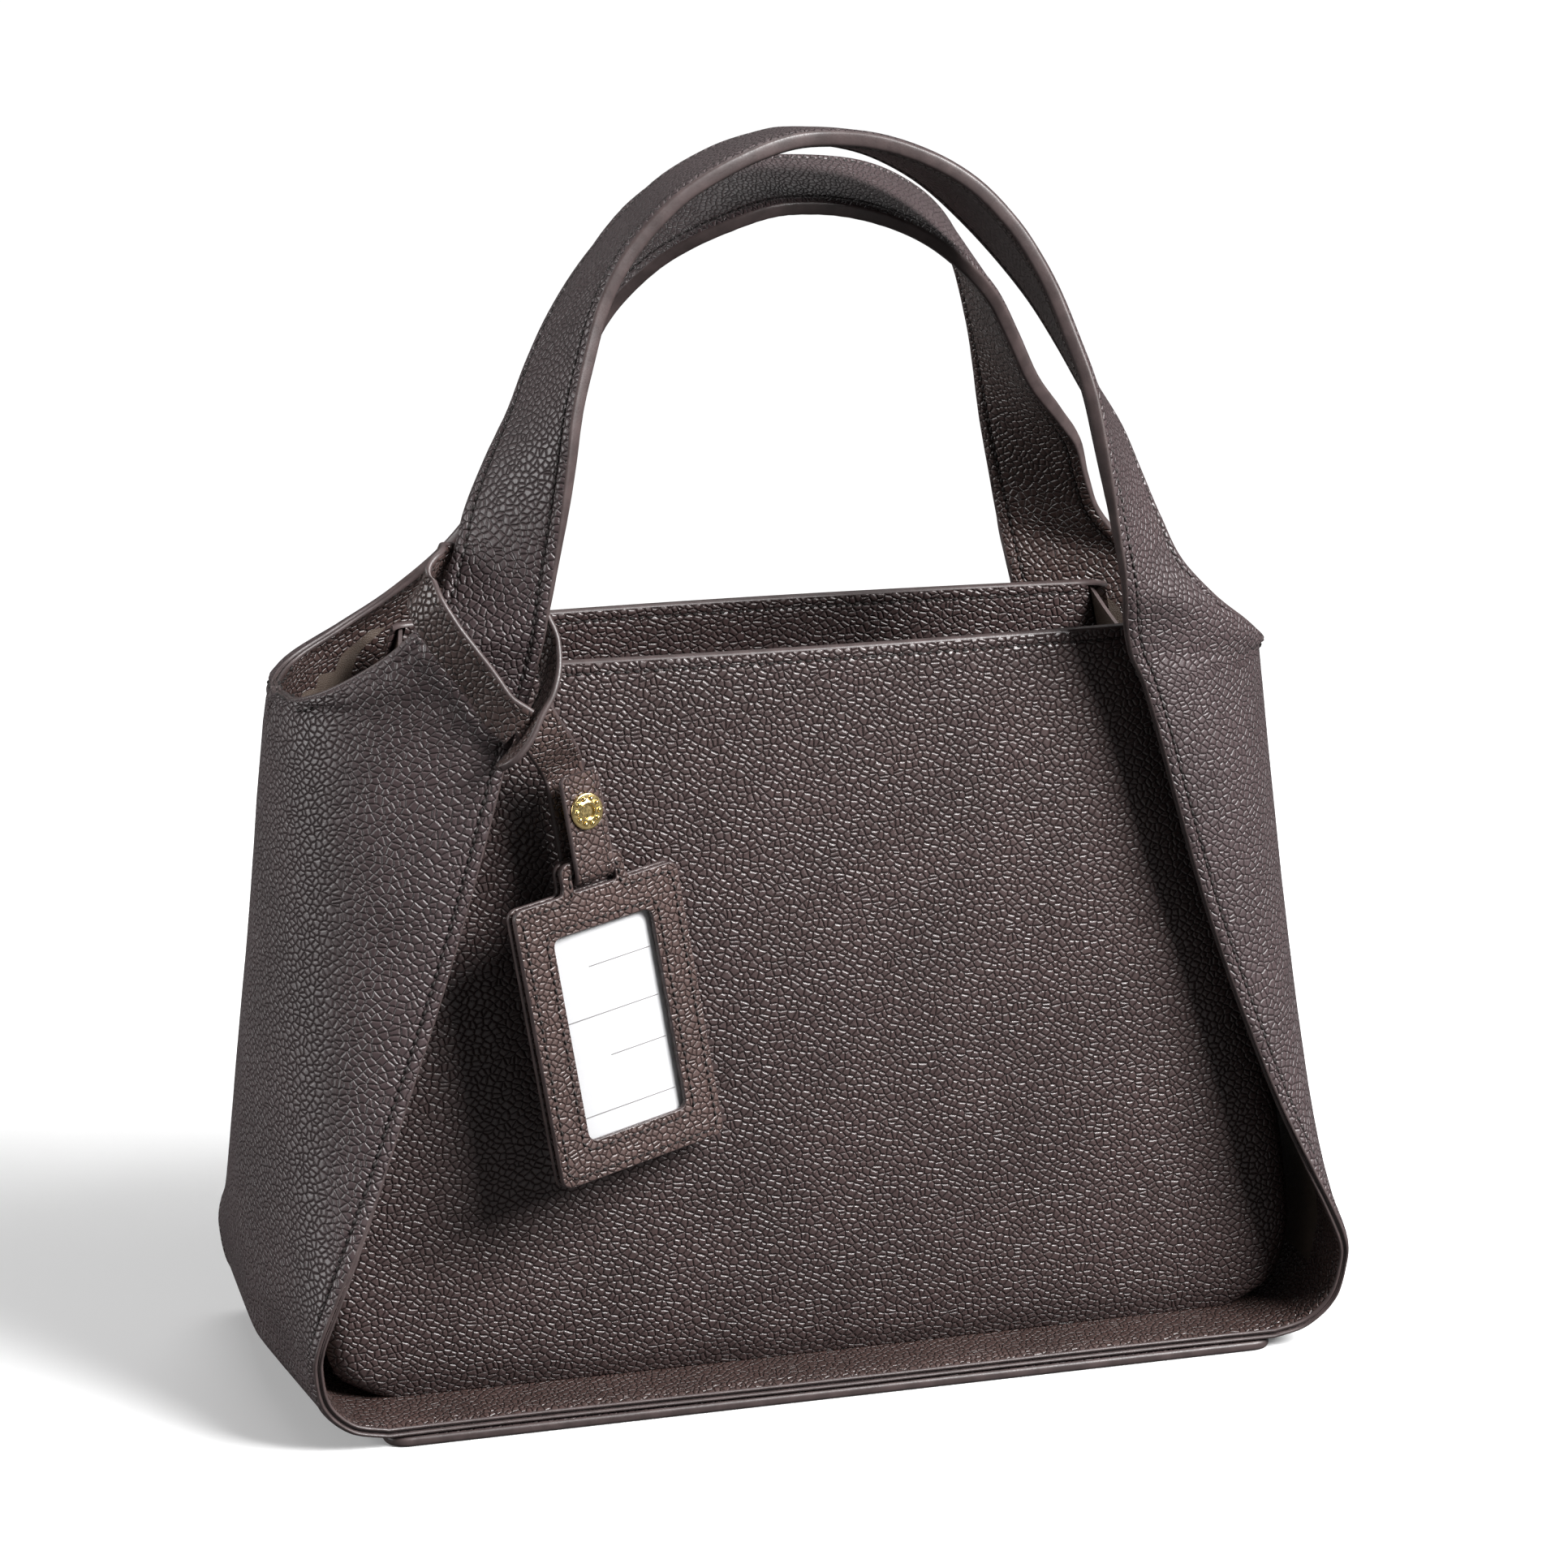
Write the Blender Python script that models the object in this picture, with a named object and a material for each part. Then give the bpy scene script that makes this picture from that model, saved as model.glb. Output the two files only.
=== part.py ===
"""A small structured leather tote with two arched handles and a hanging tag.

Metres, +Z up. The front faces -Y and the bag stands on Z = 0, with its middle on X = Y = 0.
A wrap of two leather plies runs up each side, folds round to front and back and grows into the
handles. A recessed pouch stands inside the wrap.
"""

import math

import bmesh
import bpy
import numpy as np
from mathutils import Matrix, Vector

# Overall sizes
HALF_WIDTH = 0.1675
HALF_DEPTH = 0.0660
RISE = 0.3790

# Leather and other sheets
PLY = 0.0016
CORE = 0.0010
LINING_PLY = 0.0008
FACING_PLY = 0.0012
FIT = 0.0003
WRAP_COLUMNS = 7
HANDLE_COLUMNS = 3

# Rows of the wrap from the middle of the bottom to the handle hinge. Each row has its
# window edge, its shoulder and its side end, as shares of HALF_WIDTH, HALF_DEPTH and RISE.
SIDE_ROW_SHARES = (
    ((0.000, 0.970, 0.0087), (0.000, 0.485, 0.0087), (0.000, 0.000, 0.0087)),
    ((0.842, 0.970, 0.0087), (0.848, 0.485, 0.0087), (0.854, 0.000, 0.0087)),
    ((0.910, 0.977, 0.0169), (0.919, 0.489, 0.0170), (0.928, 0.000, 0.0172)),
    ((0.961, 0.992, 0.0391), (0.971, 0.496, 0.0397), (0.981, 0.000, 0.0404)),
    ((0.978, 1.008, 0.0699), (0.989, 0.504, 0.0710), (1.000, 0.000, 0.0720)),
    ((0.974, 1.025, 0.0905), (1.000, 0.636, 0.0976), (0.997, 0.000, 0.1055)),
    ((0.944, 1.020, 0.1225), (0.994, 0.697, 0.1346), (0.990, 0.000, 0.1478)),
    ((0.905, 0.992, 0.1569), (0.987, 0.758, 0.1728), (0.981, 0.000, 0.1900)),
    ((0.851, 0.934, 0.2070), (0.978, 0.803, 0.2243), (0.970, 0.000, 0.2427)),
    ((0.803, 0.883, 0.2596), (0.967, 0.818, 0.2770), (0.961, 0.000, 0.2955)),
    ((0.718, 0.834, 0.3615), (0.952, 0.803, 0.3716), (0.949, 0.000, 0.3826)),
    ((0.646, 0.813, 0.4650), (0.940, 0.758, 0.4697), (0.943, 0.000, 0.4749)),
    ((0.598, 0.792, 0.5388), (0.931, 0.712, 0.5369), (0.940, 0.000, 0.5356)),
    ((0.576, 0.785, 0.5666), (0.925, 0.689, 0.5666), (0.940, 0.000, 0.5660)),
    ((0.561, 0.778, 0.5798), (0.901, 0.674, 0.5752), (0.931, 0.182, 0.5673)),
    ((0.552, 0.781, 0.5938), (0.854, 0.682, 0.5864), (0.899, 0.364, 0.5765)),
    ((0.544, 0.796, 0.6110), (0.782, 0.705, 0.6029), (0.842, 0.500, 0.5937)),
    ((0.537, 0.830, 0.6315), (0.704, 0.735, 0.6240), (0.773, 0.593, 0.6178)),
    ((0.532, 0.839, 0.6525), (0.633, 0.720, 0.6491), (0.704, 0.599, 0.6511)),
    ((0.521, 0.834, 0.6817), (0.598, 0.695, 0.6834), (0.668, 0.528, 0.6829)),
    ((0.507, 0.826, 0.7214), (0.576, 0.640, 0.7218), (0.634, 0.432, 0.7199)),
)
CORNER_ROW = 4
SCOOP_ROW = 13
HINGE_ROW = 20
HINGE_GAP_SHARE = 0.05
UPRIGHT_ROW = 14.5
UPRIGHT_ROWS = 2.0
NORMAL_STEP = 1 / 64

# The same for the arches, from the hinge to the crown.
FRONT_ARCH_SHARES = (
    ((0.494, 0.802, 0.7589), (0.552, 0.585, 0.7574), (0.599, 0.351, 0.7532)),
    ((0.478, 0.753, 0.8003), (0.521, 0.505, 0.7954), (0.552, 0.246, 0.7877)),
    ((0.453, 0.696, 0.8359), (0.490, 0.439, 0.8298), (0.514, 0.175, 0.8208)),
    ((0.425, 0.644, 0.8708), (0.452, 0.380, 0.8652), (0.466, 0.111, 0.8563)),
    ((0.392, 0.616, 0.8994), (0.405, 0.332, 0.8971), (0.406, 0.047, 0.8911)),
    ((0.355, 0.590, 0.9244), (0.352, 0.294, 0.9260), (0.339, -0.001, 0.9233)),
    ((0.280, 0.566, 0.9582), (0.271, 0.255, 0.9597), (0.254, -0.055, 0.9562)),
    ((0.206, 0.543, 0.9780), (0.192, 0.232, 0.9796), (0.173, -0.077, 0.9755)),
    ((0.106, 0.497, 0.9932), (0.098, 0.209, 0.9926), (0.086, -0.077, 0.9859)),
    ((0.000, 0.467, 0.9973), (0.000, 0.194, 0.9962), (0.000, -0.077, 0.9886)),
)
BACK_ARCH_SHARES = (
    ((0.495, 0.795, 0.7599), (0.545, 0.578, 0.7551), (0.584, 0.347, 0.7472)),
    ((0.478, 0.742, 0.8006), (0.506, 0.489, 0.7904), (0.520, 0.231, 0.7773)),
    ((0.454, 0.684, 0.8356), (0.470, 0.438, 0.8268), (0.473, 0.191, 0.8153)),
    ((0.425, 0.632, 0.8707), (0.431, 0.385, 0.8620), (0.424, 0.141, 0.8501)),
    ((0.391, 0.601, 0.8984), (0.385, 0.343, 0.8885), (0.369, 0.091, 0.8747)),
    ((0.349, 0.575, 0.9194), (0.333, 0.297, 0.9097), (0.307, 0.028, 0.8952)),
    ((0.277, 0.544, 0.9402), (0.259, 0.247, 0.9292), (0.234, -0.040, 0.9129)),
    ((0.204, 0.499, 0.9524), (0.184, 0.199, 0.9418), (0.160, -0.093, 0.9253)),
    ((0.105, 0.441, 0.9592), (0.093, 0.155, 0.9494), (0.080, -0.122, 0.9335)),
    ((0.000, 0.419, 0.9610), (0.000, 0.141, 0.9514), (0.000, -0.129, 0.9357)),
)
HINGE_OUT_SHARE = 0.875

# The leather of the left legs has settled. For each row from the scoop up, these are the ways to
# the right of the window edge and side end of the front leg, and of the same of the back leg, as
# shares of HALF_WIDTH. The side end of the back leg comes forward too.
SETTLE_SHARES = (
    (0.0000, 0.0000, 0.0000, 0.0000),
    (0.0000, 0.0000, 0.0000, 0.0000),
    (0.0000, 0.0000, 0.0090, 0.0119),
    (0.0000, 0.0000, 0.0299, 0.0448),
    (0.0000, 0.0000, 0.0507, 0.0806),
    (0.0000, 0.0000, 0.0627, 0.1075),
    (0.0000, 0.0000, 0.0716, 0.1254),
    (0.0000, 0.0000, 0.0746, 0.1254),
    (0.0000, 0.0072, 0.0806, 0.1164),
    (0.0000, 0.0137, 0.0866, 0.1075),
    (0.0000, 0.0149, 0.0985, 0.0985),
    (0.0000, 0.0155, 0.1104, 0.0896),
    (0.0000, 0.0179, 0.1164, 0.0806),
    (0.0060, 0.0239, 0.1134, 0.0687),
    (0.0149, 0.0328, 0.0985, 0.0597),
    (0.0239, 0.0418, 0.0746, 0.0478),
    (0.0239, 0.0388, 0.0388, 0.0269),
    (0.0000, 0.0000, 0.0000, 0.0000),
)
SETTLE_FORWARD_SHARE = 0.3

# Base
BASE_HALF_LENGTH = 0.1410
BASE_HALF_DEPTH = 0.0600
BASE_THICKNESS = 0.0030
BASE_CORNER = 0.0080
BOARD_THICKNESS = 0.0020
BOARD_END_GAP = 0.001625

# Pouch: half width and half depth of its panels, as (height share of the rim, share) pairs
RIM_HEIGHT = 0.2255
POUCH_WIDTH_SHARES = (
    (0.0, 0.830),
    (0.02, 0.876),
    (0.06, 0.905),
    (0.15, 0.910),
    (0.30, 0.885),
    (1.0, 0.687),
)
POUCH_DEPTH_SHARES = (
    (0.0, 0.591),
    (0.025, 0.630),
    (0.08, 0.667),
    (0.29, 0.697),
    (0.52, 0.682),
    (0.74, 0.636),
    (1.0, 0.572),
)
POUCH_CROWN = 0.0050
POUCH_FOOT_CROWN = 0.0015
POUCH_COLUMNS = 10
POUCH_ROWS = 9
POUCH_ROW_POWER = 1.5
POUCH_CROWN_SHARE = 0.25
FACING_HEIGHT = 0.0360
GUSSET_DIP = 0.0140
GUSSET_BULGE = 0.0050
GUSSET_COLUMNS = 6

# Tag strap
STRAP_WIDTH = 0.0130
STRAP_THICKNESS = 0.0018
STRAP_STEPS = 3
# Loop round the front left leg, from the crossing over the scoop edge and behind the leg to the
# tip: each stop has its place, as shares of HALF_WIDTH, HALF_DEPTH and RISE, and the direction of
# the strap's upper edge.
LOOP_SHARES = (
    ((-0.587, -0.883, 0.5636), (0.50, -0.30, 0.80)),
    ((-0.620, -0.861, 0.5765), (0.48, -0.54, 0.69)),
    ((-0.644, -0.835, 0.5937), (0.44, -0.63, 0.65)),
    ((-0.679, -0.814, 0.6153), (0.46, -0.61, 0.65)),
    ((-0.709, -0.779, 0.6348), (0.45, -0.60, 0.66)),
    ((-0.730, -0.723, 0.6528), (0.41, -0.47, 0.78)),
    ((-0.732, -0.647, 0.6649), (0.43, -0.21, 0.88)),
    ((-0.705, -0.579, 0.6776), (0.45, 0.10, 0.89)),
    ((-0.691, -0.479, 0.6770), (0.44, 0.12, 0.88)),
    ((-0.651, -0.433, 0.6734), (0.42, 0.00, 0.88)),
    ((-0.603, -0.509, 0.6675), (0.42, -0.20, 0.85)),
    ((-0.564, -0.621, 0.6517), (0.43, -0.34, 0.79)),
    ((-0.537, -0.700, 0.6306), (0.40, -0.50, 0.75)),
    ((-0.522, -0.739, 0.6150), (0.30, -0.70, 0.62)),
    ((-0.521, -0.791, 0.5987), (0.15, -0.90, 0.40)),
    ((-0.532, -0.830, 0.5855), (0.05, -0.96, 0.25)),
    ((-0.555, -0.861, 0.5707), (0.05, -0.96, 0.25)),
    ((-0.579, -0.891, 0.5528), (0.05, -0.96, 0.25)),
    ((-0.605, -0.906, 0.5404), (0.05, -0.96, 0.25)),
    ((-0.626, -0.906, 0.5335), (0.05, -0.96, 0.25)),
)
LOOP_END_SHARE = 0.7
# Tail of the strap from the crossing to the tag, then back up as the tongue. Its top and the tag's
# slot are shares of HALF_WIDTH, HALF_DEPTH and RISE, as the loop is.
TAIL_TOP_SHARES = (-0.562388, -0.877273, 0.547757)
TAIL_LEAVES = (0.0060, -0.0010, -0.0110)
TAIL_TOP_EDGE = (0.60, 0.00, 0.80)
TAIL_STRAIGHT = 0.0265
TAIL_HOLD = 0.0060
TAIL_STEPS = 8
TAIL_TURN_SHARE = 0.7
FOLD_SLACK = 0.0003
FOLD_ABOVE_SLOT = 0.0034
FOLD_STEPS = 8
TONGUE_LENGTH = 0.0280
TONGUE_END_SHARE = 0.9
TONGUE_STOP_SHARES = (0.02, 0.35, 0.7, 0.97, 1.0)
SNAP_HEIGHT_SHARE = 0.60

# Snap
SNAP_RADIUS = 0.0052
SNAP_THICKNESS = 0.0011
SNAP_HOLE_RADIUS = 0.0016
SNAP_RIM_SHARE = 0.4
SNAP_CROWN_SHARE = 0.85
SNAP_LIP_SHARE = 1.3
SOCKET_RADIUS = 0.0040
SOCKET_THICKNESS = 0.0020
BACK_THICKNESS = 0.0009
TURNED_STEPS = 28

# Tag, measured from its slot
TAG_WIDTH = 0.0580
TAG_HEIGHT = 0.0845
TAG_BORDER = 0.0116
TAG_CORNER = 0.0030
TAG_FRONT_PLY = 0.0020
TAG_BACK_PLY = 0.0016
TAB_WIDTH = 0.0220
TAB_HEIGHT = 0.0090
TAB_CORNER = 0.0035
SLOT_WIDTH = 0.0150
SLOT_HEIGHT = 0.0052
SLOT_ABOVE_BODY = 0.0026
WINDOW_CORNER = 0.0035
WINDOW_LIP = 0.0030
FILM_THICKNESS = 0.0003
CARD_THICKNESS = 0.0003
TAG_PLACE_SHARES = (-0.454925, -0.806061, 0.438522)
TAG_TURN = math.radians(17.9)
TAG_ROLL = math.radians(6.9)
TAG_LEAN = math.radians(7.5)
ARC_STEPS = 5


def clear_scene():
    for thing in list(bpy.data.objects):
        bpy.data.objects.remove(thing, do_unlink=True)


def material(name, colour, roughness, metallic=0.0):
    made = bpy.data.materials.new(name)
    made.use_nodes = True
    shader = made.node_tree.nodes["Principled BSDF"]
    shader.inputs["Base Color"].default_value = (*colour, 1.0)
    shader.inputs["Roughness"].default_value = roughness
    shader.inputs["Metallic"].default_value = metallic
    return made


def placed(data, name, made, origin):
    thing = bpy.data.objects.new(name, data)
    thing.location = origin
    data.materials.append(made)
    bpy.context.collection.objects.link(thing)
    return thing


def mesh_object(name, points, faces, made, origin=(0.0, 0.0, 0.0)):
    mesh = bpy.data.meshes.new(name)
    start = Vector(origin)
    mesh.from_pydata([Vector(point) - start for point in points], [], faces)
    work = bmesh.new()
    work.from_mesh(mesh)
    bmesh.ops.recalc_face_normals(work, faces=work.faces)
    work.to_mesh(mesh)
    work.free()
    mesh.shade_smooth()
    return placed(mesh, name, made, origin)


def walls(quads, offset):
    """Faces that close the rim between a sheet and its copy `offset` points later."""
    count = {}
    for quad in quads:
        for first, second in zip(quad, quad[1:] + quad[:1]):
            key = (min(first, second), max(first, second))
            count.setdefault(key, []).append((first, second))
    rim = [uses[0] for uses in count.values() if len(uses) == 1]
    return [(second, first, first + offset, second + offset) for first, second in rim]


def split(quads, guide):
    """Triangles of the quads, each cut along the shorter of its diagonals on the guide points."""
    triangles = []
    for a, b, c, d in quads:
        if math.dist(guide[a], guide[c]) <= math.dist(guide[b], guide[d]):
            triangles += [(a, b, c), (a, c, d)]
        else:
            triangles += [(a, b, d), (b, c, d)]
    return triangles


def sheet(name, guide, skins, quads, made, origin=(0.0, 0.0, 0.0)):
    """A closed sheet between two matching skins, both cut along the diagonals of the guide."""
    outer, inner = skins
    offset = len(outer)
    front = split(quads, guide)
    back = [tuple(corner + offset for corner in reversed(tri)) for tri in front]
    faces = front + back + walls(quads, offset)
    return mesh_object(name, list(outer) + list(inner), faces, made, origin)


def grid_quads(rows, columns, wrapped=False):
    quads = []
    for row in range(rows - 1):
        for column in range(columns - 1 + wrapped):
            after = (column + 1) % columns
            here = row * columns
            above = here + columns
            quads.append((here + column, here + after, above + after, above + column))
    return quads


def slope(before, here, after):
    """Direction of a smooth curve at the middle one of three rows, per unit of its length."""
    low = np.linalg.norm(here - before)
    high = np.linalg.norm(after - here)
    if low == 0:
        return (after - here) / high
    if high == 0:
        return (here - before) / low
    return ((here - before) * high / low + (after - here) * low / high) / (low + high)


def between(table, place):
    """A smooth curve through the rows of a table, read at a fractional row."""
    last = len(table) - 1
    start = min(max(int(math.floor(place)), 0), last - 1)
    share = place - start
    before, here, after, past = (
        table[min(max(start + step, 0), last)] for step in (-1, 0, 1, 2)
    )
    length = np.linalg.norm(after - here)
    cube = share**3
    square = share**2
    return (
        here * (2 * cube - 3 * square + 1)
        + slope(before, here, after) * length * (cube - 2 * square + share)
        + after * (3 * square - 2 * cube)
        + slope(here, after, past) * length * (cube - square)
    )


def evenly_between(table, place):
    """Straight steps between the rows of a table, read at a fractional row."""
    start = min(int(place), len(table) - 2)
    share = place - start
    return table[start] * (1 - share) + table[start + 1] * share


def wrap_table(arch):
    """Rows of half the wrap, and two more past the crown so that the arch turns over smoothly."""
    size = np.array((HALF_WIDTH, HALF_DEPTH, RISE))
    rows = np.array(SIDE_ROW_SHARES + arch) * size
    past = rows[-2:-4:-1] * np.array((-1.0, 1.0, 1.0))
    return np.concatenate((rows, past))


def section_point(row, share):
    """A point of a row: share 0 is its window edge and share 1 its side end."""
    window, shoulder, side = row
    return window * (1 - share) ** 2 + shoulder * 2 * share * (1 - share) + side * share**2


def wrap_normal(table, place, share):
    """Outward normal of the wrap in the front right quarter, with depth counted outwards."""
    held = min(max(share, NORMAL_STEP), 1 - NORMAL_STEP)
    above = section_point(between(table, place + NORMAL_STEP), held)
    below = section_point(between(table, place - NORMAL_STEP), held)
    along = (above - below) / np.linalg.norm(above - below)
    away = abs(place - UPRIGHT_ROW) / UPRIGHT_ROWS
    along = along + (np.array((0.0, 0.0, 1.0)) - along) * min(max(2 - away, 0), 1)
    row = between(table, place)
    across = section_point(row, held + NORMAL_STEP) - section_point(row, held - NORMAL_STEP)
    normal = np.cross(along, across)
    if place <= SCOOP_ROW and share == 1:
        normal[1] = 0
    return normal / np.linalg.norm(normal)


def wrap_grid(table, places, columns, depth):
    """Points of the front right quarter of the wrap, `depth` below its outer face."""
    grid = []
    for place in places:
        row = between(table, place)
        line = []
        for column in range(columns + 1):
            share = column / columns
            point = section_point(row, share) - wrap_normal(table, place, share) * depth
            line.append(point)
        grid.append(line)
    return np.array(grid)


def to_world(points, side, face):
    return points * np.array((side, -face, 1.0))


def left_in_world(quarter, places, face):
    """A left quarter of the wrap from the points of the front right one, with its leg settled."""
    points = to_world(quarter, -1, face)
    numbers = np.arange(len(SETTLE_SHARES))
    table = np.column_stack((np.array(SETTLE_SHARES) * HALF_WIDTH, numbers))
    moves = np.array([between(table, max(place - SCOOP_ROW, 0)) for place in places])
    window, end = moves[:, :2].T if face > 0 else moves[:, 2:4].T
    share = np.linspace(0, 1, points.shape[1])
    points[..., 0] += np.outer(window, 1 - share) + np.outer(end, share)
    if face < 0:
        points[..., 1] -= np.outer(end, share) * SETTLE_FORWARD_SHARE
    return points


def half_steps(first, last):
    return [first + step / 2 for step in range(2 * (last - first) + 1)]


def side_places():
    """Rows of a side: half steps where it bends, whole steps up the flat of the wall."""
    wall = list(range(CORNER_ROW + 1, SCOOP_ROW))
    return [0] + half_steps(1, CORNER_ROW) + wall + half_steps(SCOOP_ROW, HINGE_ROW)


def wrap_side(name, side, depth, made):
    """One ply of one side: bottom half, corner, side wall and the stubs of two legs."""
    table = wrap_table(FRONT_ARCH_SHARES)
    places = side_places()
    rows = len(places)
    columns = WRAP_COLUMNS + 1
    faces = []
    for face in (1, -1):
        number = np.arange(rows * columns).reshape(rows, columns)
        if face == -1:
            number = number + rows * columns
            shared = [row for row in range(rows) if places[row] <= SCOOP_ROW]
            number[shared, -1] -= rows * columns
        for row in range(rows - 1):
            for column in range(WRAP_COLUMNS):
                corners = number[row : row + 2, column : column + 2]
                faces.append(tuple(int(n) for n in (*corners[0], *corners[1][::-1])))
    used = sorted({corner for quad in faces for corner in quad})
    skins = []
    for level in (0.0, depth, depth + PLY):
        quarter = wrap_grid(table, places, WRAP_COLUMNS, level)
        quarter[0, :, 0] = FIT / 2
        if side > 0:
            halves = [to_world(quarter, side, face) for face in (1, -1)]
        else:
            halves = [left_in_world(quarter, places, face) for face in (1, -1)]
        skins.append(np.concatenate(halves).reshape(-1, 3)[used])
    place_of = {old: new for new, old in enumerate(used)}
    quads = [tuple(place_of[corner] for corner in quad) for quad in faces]
    return sheet(name, skins[0], skins[1:], oriented(quads, side), made)


def oriented(quads, side):
    """Quads of the two halves meet with opposite turns: each half is turned to match."""
    half = len(quads) // 2
    turned = [quad[::-1] for quad in quads[half:]]
    kept = quads[:half] + turned
    return kept if side > 0 else [quad[::-1] for quad in kept]


def handle_origin(face):
    row = between(wrap_table(FRONT_ARCH_SHARES), HINGE_ROW)
    return (0.0, -face * HINGE_OUT_SHARE * HALF_DEPTH, float(row[0][2]))


def handle_ply(name, arch, face, depth, thickness, made):
    """One layer of a handle, from the hinge of one leg over the crown to the other."""
    table = wrap_table(arch)
    places = half_steps(HINGE_ROW, HINGE_ROW + len(arch))
    places[0] += HINGE_GAP_SHARE
    skins = []
    for level in (0.0, depth, depth + thickness):
        quarter = wrap_grid(table, places, HANDLE_COLUMNS, level)
        quarter[-1, :, 0] = 0
        right = to_world(quarter, 1, face)
        left = left_in_world(quarter, places, face)
        skins.append(np.concatenate((right, left[-2::-1])).reshape(-1, 3))
    quads = grid_quads(2 * len(places) - 1, HANDLE_COLUMNS + 1)
    return sheet(name, skins[0], skins[1:], quads, made, handle_origin(face))


def rounded(corners, radii):
    """An outline with its corners rounded, as (x, y) points."""
    outline = []
    for index, corner in enumerate(corners):
        here = Vector(corner)
        before = (Vector(corners[index - 1]) - here).normalized()
        after = (Vector(corners[(index + 1) % len(corners)]) - here).normalized()
        radius = radii[index]
        for step in range(ARC_STEPS + 1):
            share = step / ARC_STEPS
            start = here + before * radius
            end = here + after * radius
            point = start * (1 - share) ** 2 + here * 2 * share * (1 - share) + end * share**2
            outline.append((point.x, point.y))
    return outline


def plate(name, outlines, thickness, made, matrix):
    """A flat plate cut from a sheet: the first outline is its rim, the others are holes."""
    curve = bpy.data.curves.new(name, "CURVE")
    curve.dimensions = "2D"
    curve.fill_mode = "BOTH"
    curve.extrude = thickness / 2
    for outline in outlines:
        spline = curve.splines.new("POLY")
        spline.points.add(len(outline) - 1)
        for point, (x, y) in zip(spline.points, outline):
            point.co = (x, y, 0.0, 1.0)
        spline.use_cyclic_u = True
    thing = placed(curve, name, made, matrix.to_translation())
    thing.rotation_euler = matrix.to_euler()
    return thing


def box_outline(half_x, half_y, radius):
    corners = [(-half_x, -half_y), (half_x, -half_y), (half_x, half_y), (-half_x, half_y)]
    return rounded(corners, [radius] * 4)


def plate_above(name, outline, low, thickness, made):
    lift = Matrix.Translation((0.0, 0.0, low + thickness / 2))
    return plate(name, [outline], thickness, made, lift)


def wrap_bottom():
    """Height of the inner face of the wrap at the bottom."""
    return SIDE_ROW_SHARES[0][0][2] * RISE + 2 * PLY + FIT


def pouch_foot():
    return wrap_bottom() + FIT


def read(shares, share):
    heights, values = zip(*shares)
    return float(np.interp(share, heights, values))


def pouch_side(share):
    return read(POUCH_WIDTH_SHARES, share) * HALF_WIDTH


def pouch_crown(share):
    grown = min(share / POUCH_CROWN_SHARE, 1)
    return POUCH_FOOT_CROWN + (POUCH_CROWN - POUCH_FOOT_CROWN) * grown


def pouch_depth(share, across):
    return read(POUCH_DEPTH_SHARES, share) * HALF_DEPTH - pouch_crown(share) * across**2


def pouch_height(share):
    return pouch_foot() + share * (RIM_HEIGHT - pouch_foot())


def pouch_shares(low):
    """Heights of the rows of a pouch sheet, closer together near the foot."""
    steps = range(POUCH_ROWS + 1)
    return [low + (1 - low) * (step / POUCH_ROWS) ** POUCH_ROW_POWER for step in steps]


def pouch_sheet(name, face, depth, thickness, narrower, low, made):
    """A sheet of the pouch's front or back, `depth` inside its outer face."""
    skins = []
    shares = pouch_shares(low)
    for level in (depth, depth + thickness):
        points = []
        for share in shares:
            half = pouch_side(share) - narrower
            for step in range(POUCH_COLUMNS + 1):
                across = 2 * step / POUCH_COLUMNS - 1
                out = pouch_depth(share, across * half / pouch_side(share)) - level
                points.append((across * half, -face * out, pouch_height(share)))
        skins.append(points)
    quads = grid_quads(len(shares), POUCH_COLUMNS + 1)
    return sheet(name, skins[0], skins, quads, made)


def gusset(name, side, made):
    """The pouch's end, bulging outwards, with a top edge that dips in the middle."""
    skins = []
    shares = pouch_shares(0.0)
    for level in (0.0, FACING_PLY):
        points = []
        for share in shares:
            reach = pouch_depth(share, 1.0) - PLY - FIT
            for step in range(GUSSET_COLUMNS + 1):
                across = 2 * step / GUSSET_COLUMNS - 1
                middle = 1 - across**2
                out = pouch_side(share) - 2 * PLY + GUSSET_BULGE * middle * share - level
                height = pouch_height(share) - GUSSET_DIP * middle * share**2
                points.append((side * out, across * reach, height))
        skins.append(points)
    quads = grid_quads(len(shares), GUSSET_COLUMNS + 1)
    return sheet(name, skins[0], skins, quads, made)


def ribbon(name, centres, edges, half_widths, made, origin):
    """A strap along a line of centres, each with the direction of one of its edges."""
    count = len(centres)
    points = []
    for index, centre in enumerate(centres):
        along = centres[min(index + 1, count - 1)] - centres[max(index - 1, 0)]
        up = along.cross(edges[index]).normalized()
        across = up.cross(along).normalized()
        for width, height in ((-1, -1), (1, -1), (1, 1), (-1, 1)):
            out = across * width * half_widths[index]
            points.append(centre + out + up * height * STRAP_THICKNESS / 2)
    quads = grid_quads(count, 4, True)
    ends = [(0, 1, 2, 3), tuple(range(4 * count - 1, 4 * count - 5, -1))]
    return mesh_object(name, points, quads + ends, made, origin)


def place_of_shares(shares):
    """A place given as shares of the bag's overall sizes."""
    return Vector(np.array(shares) * np.array((HALF_WIDTH, HALF_DEPTH, RISE)))


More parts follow.
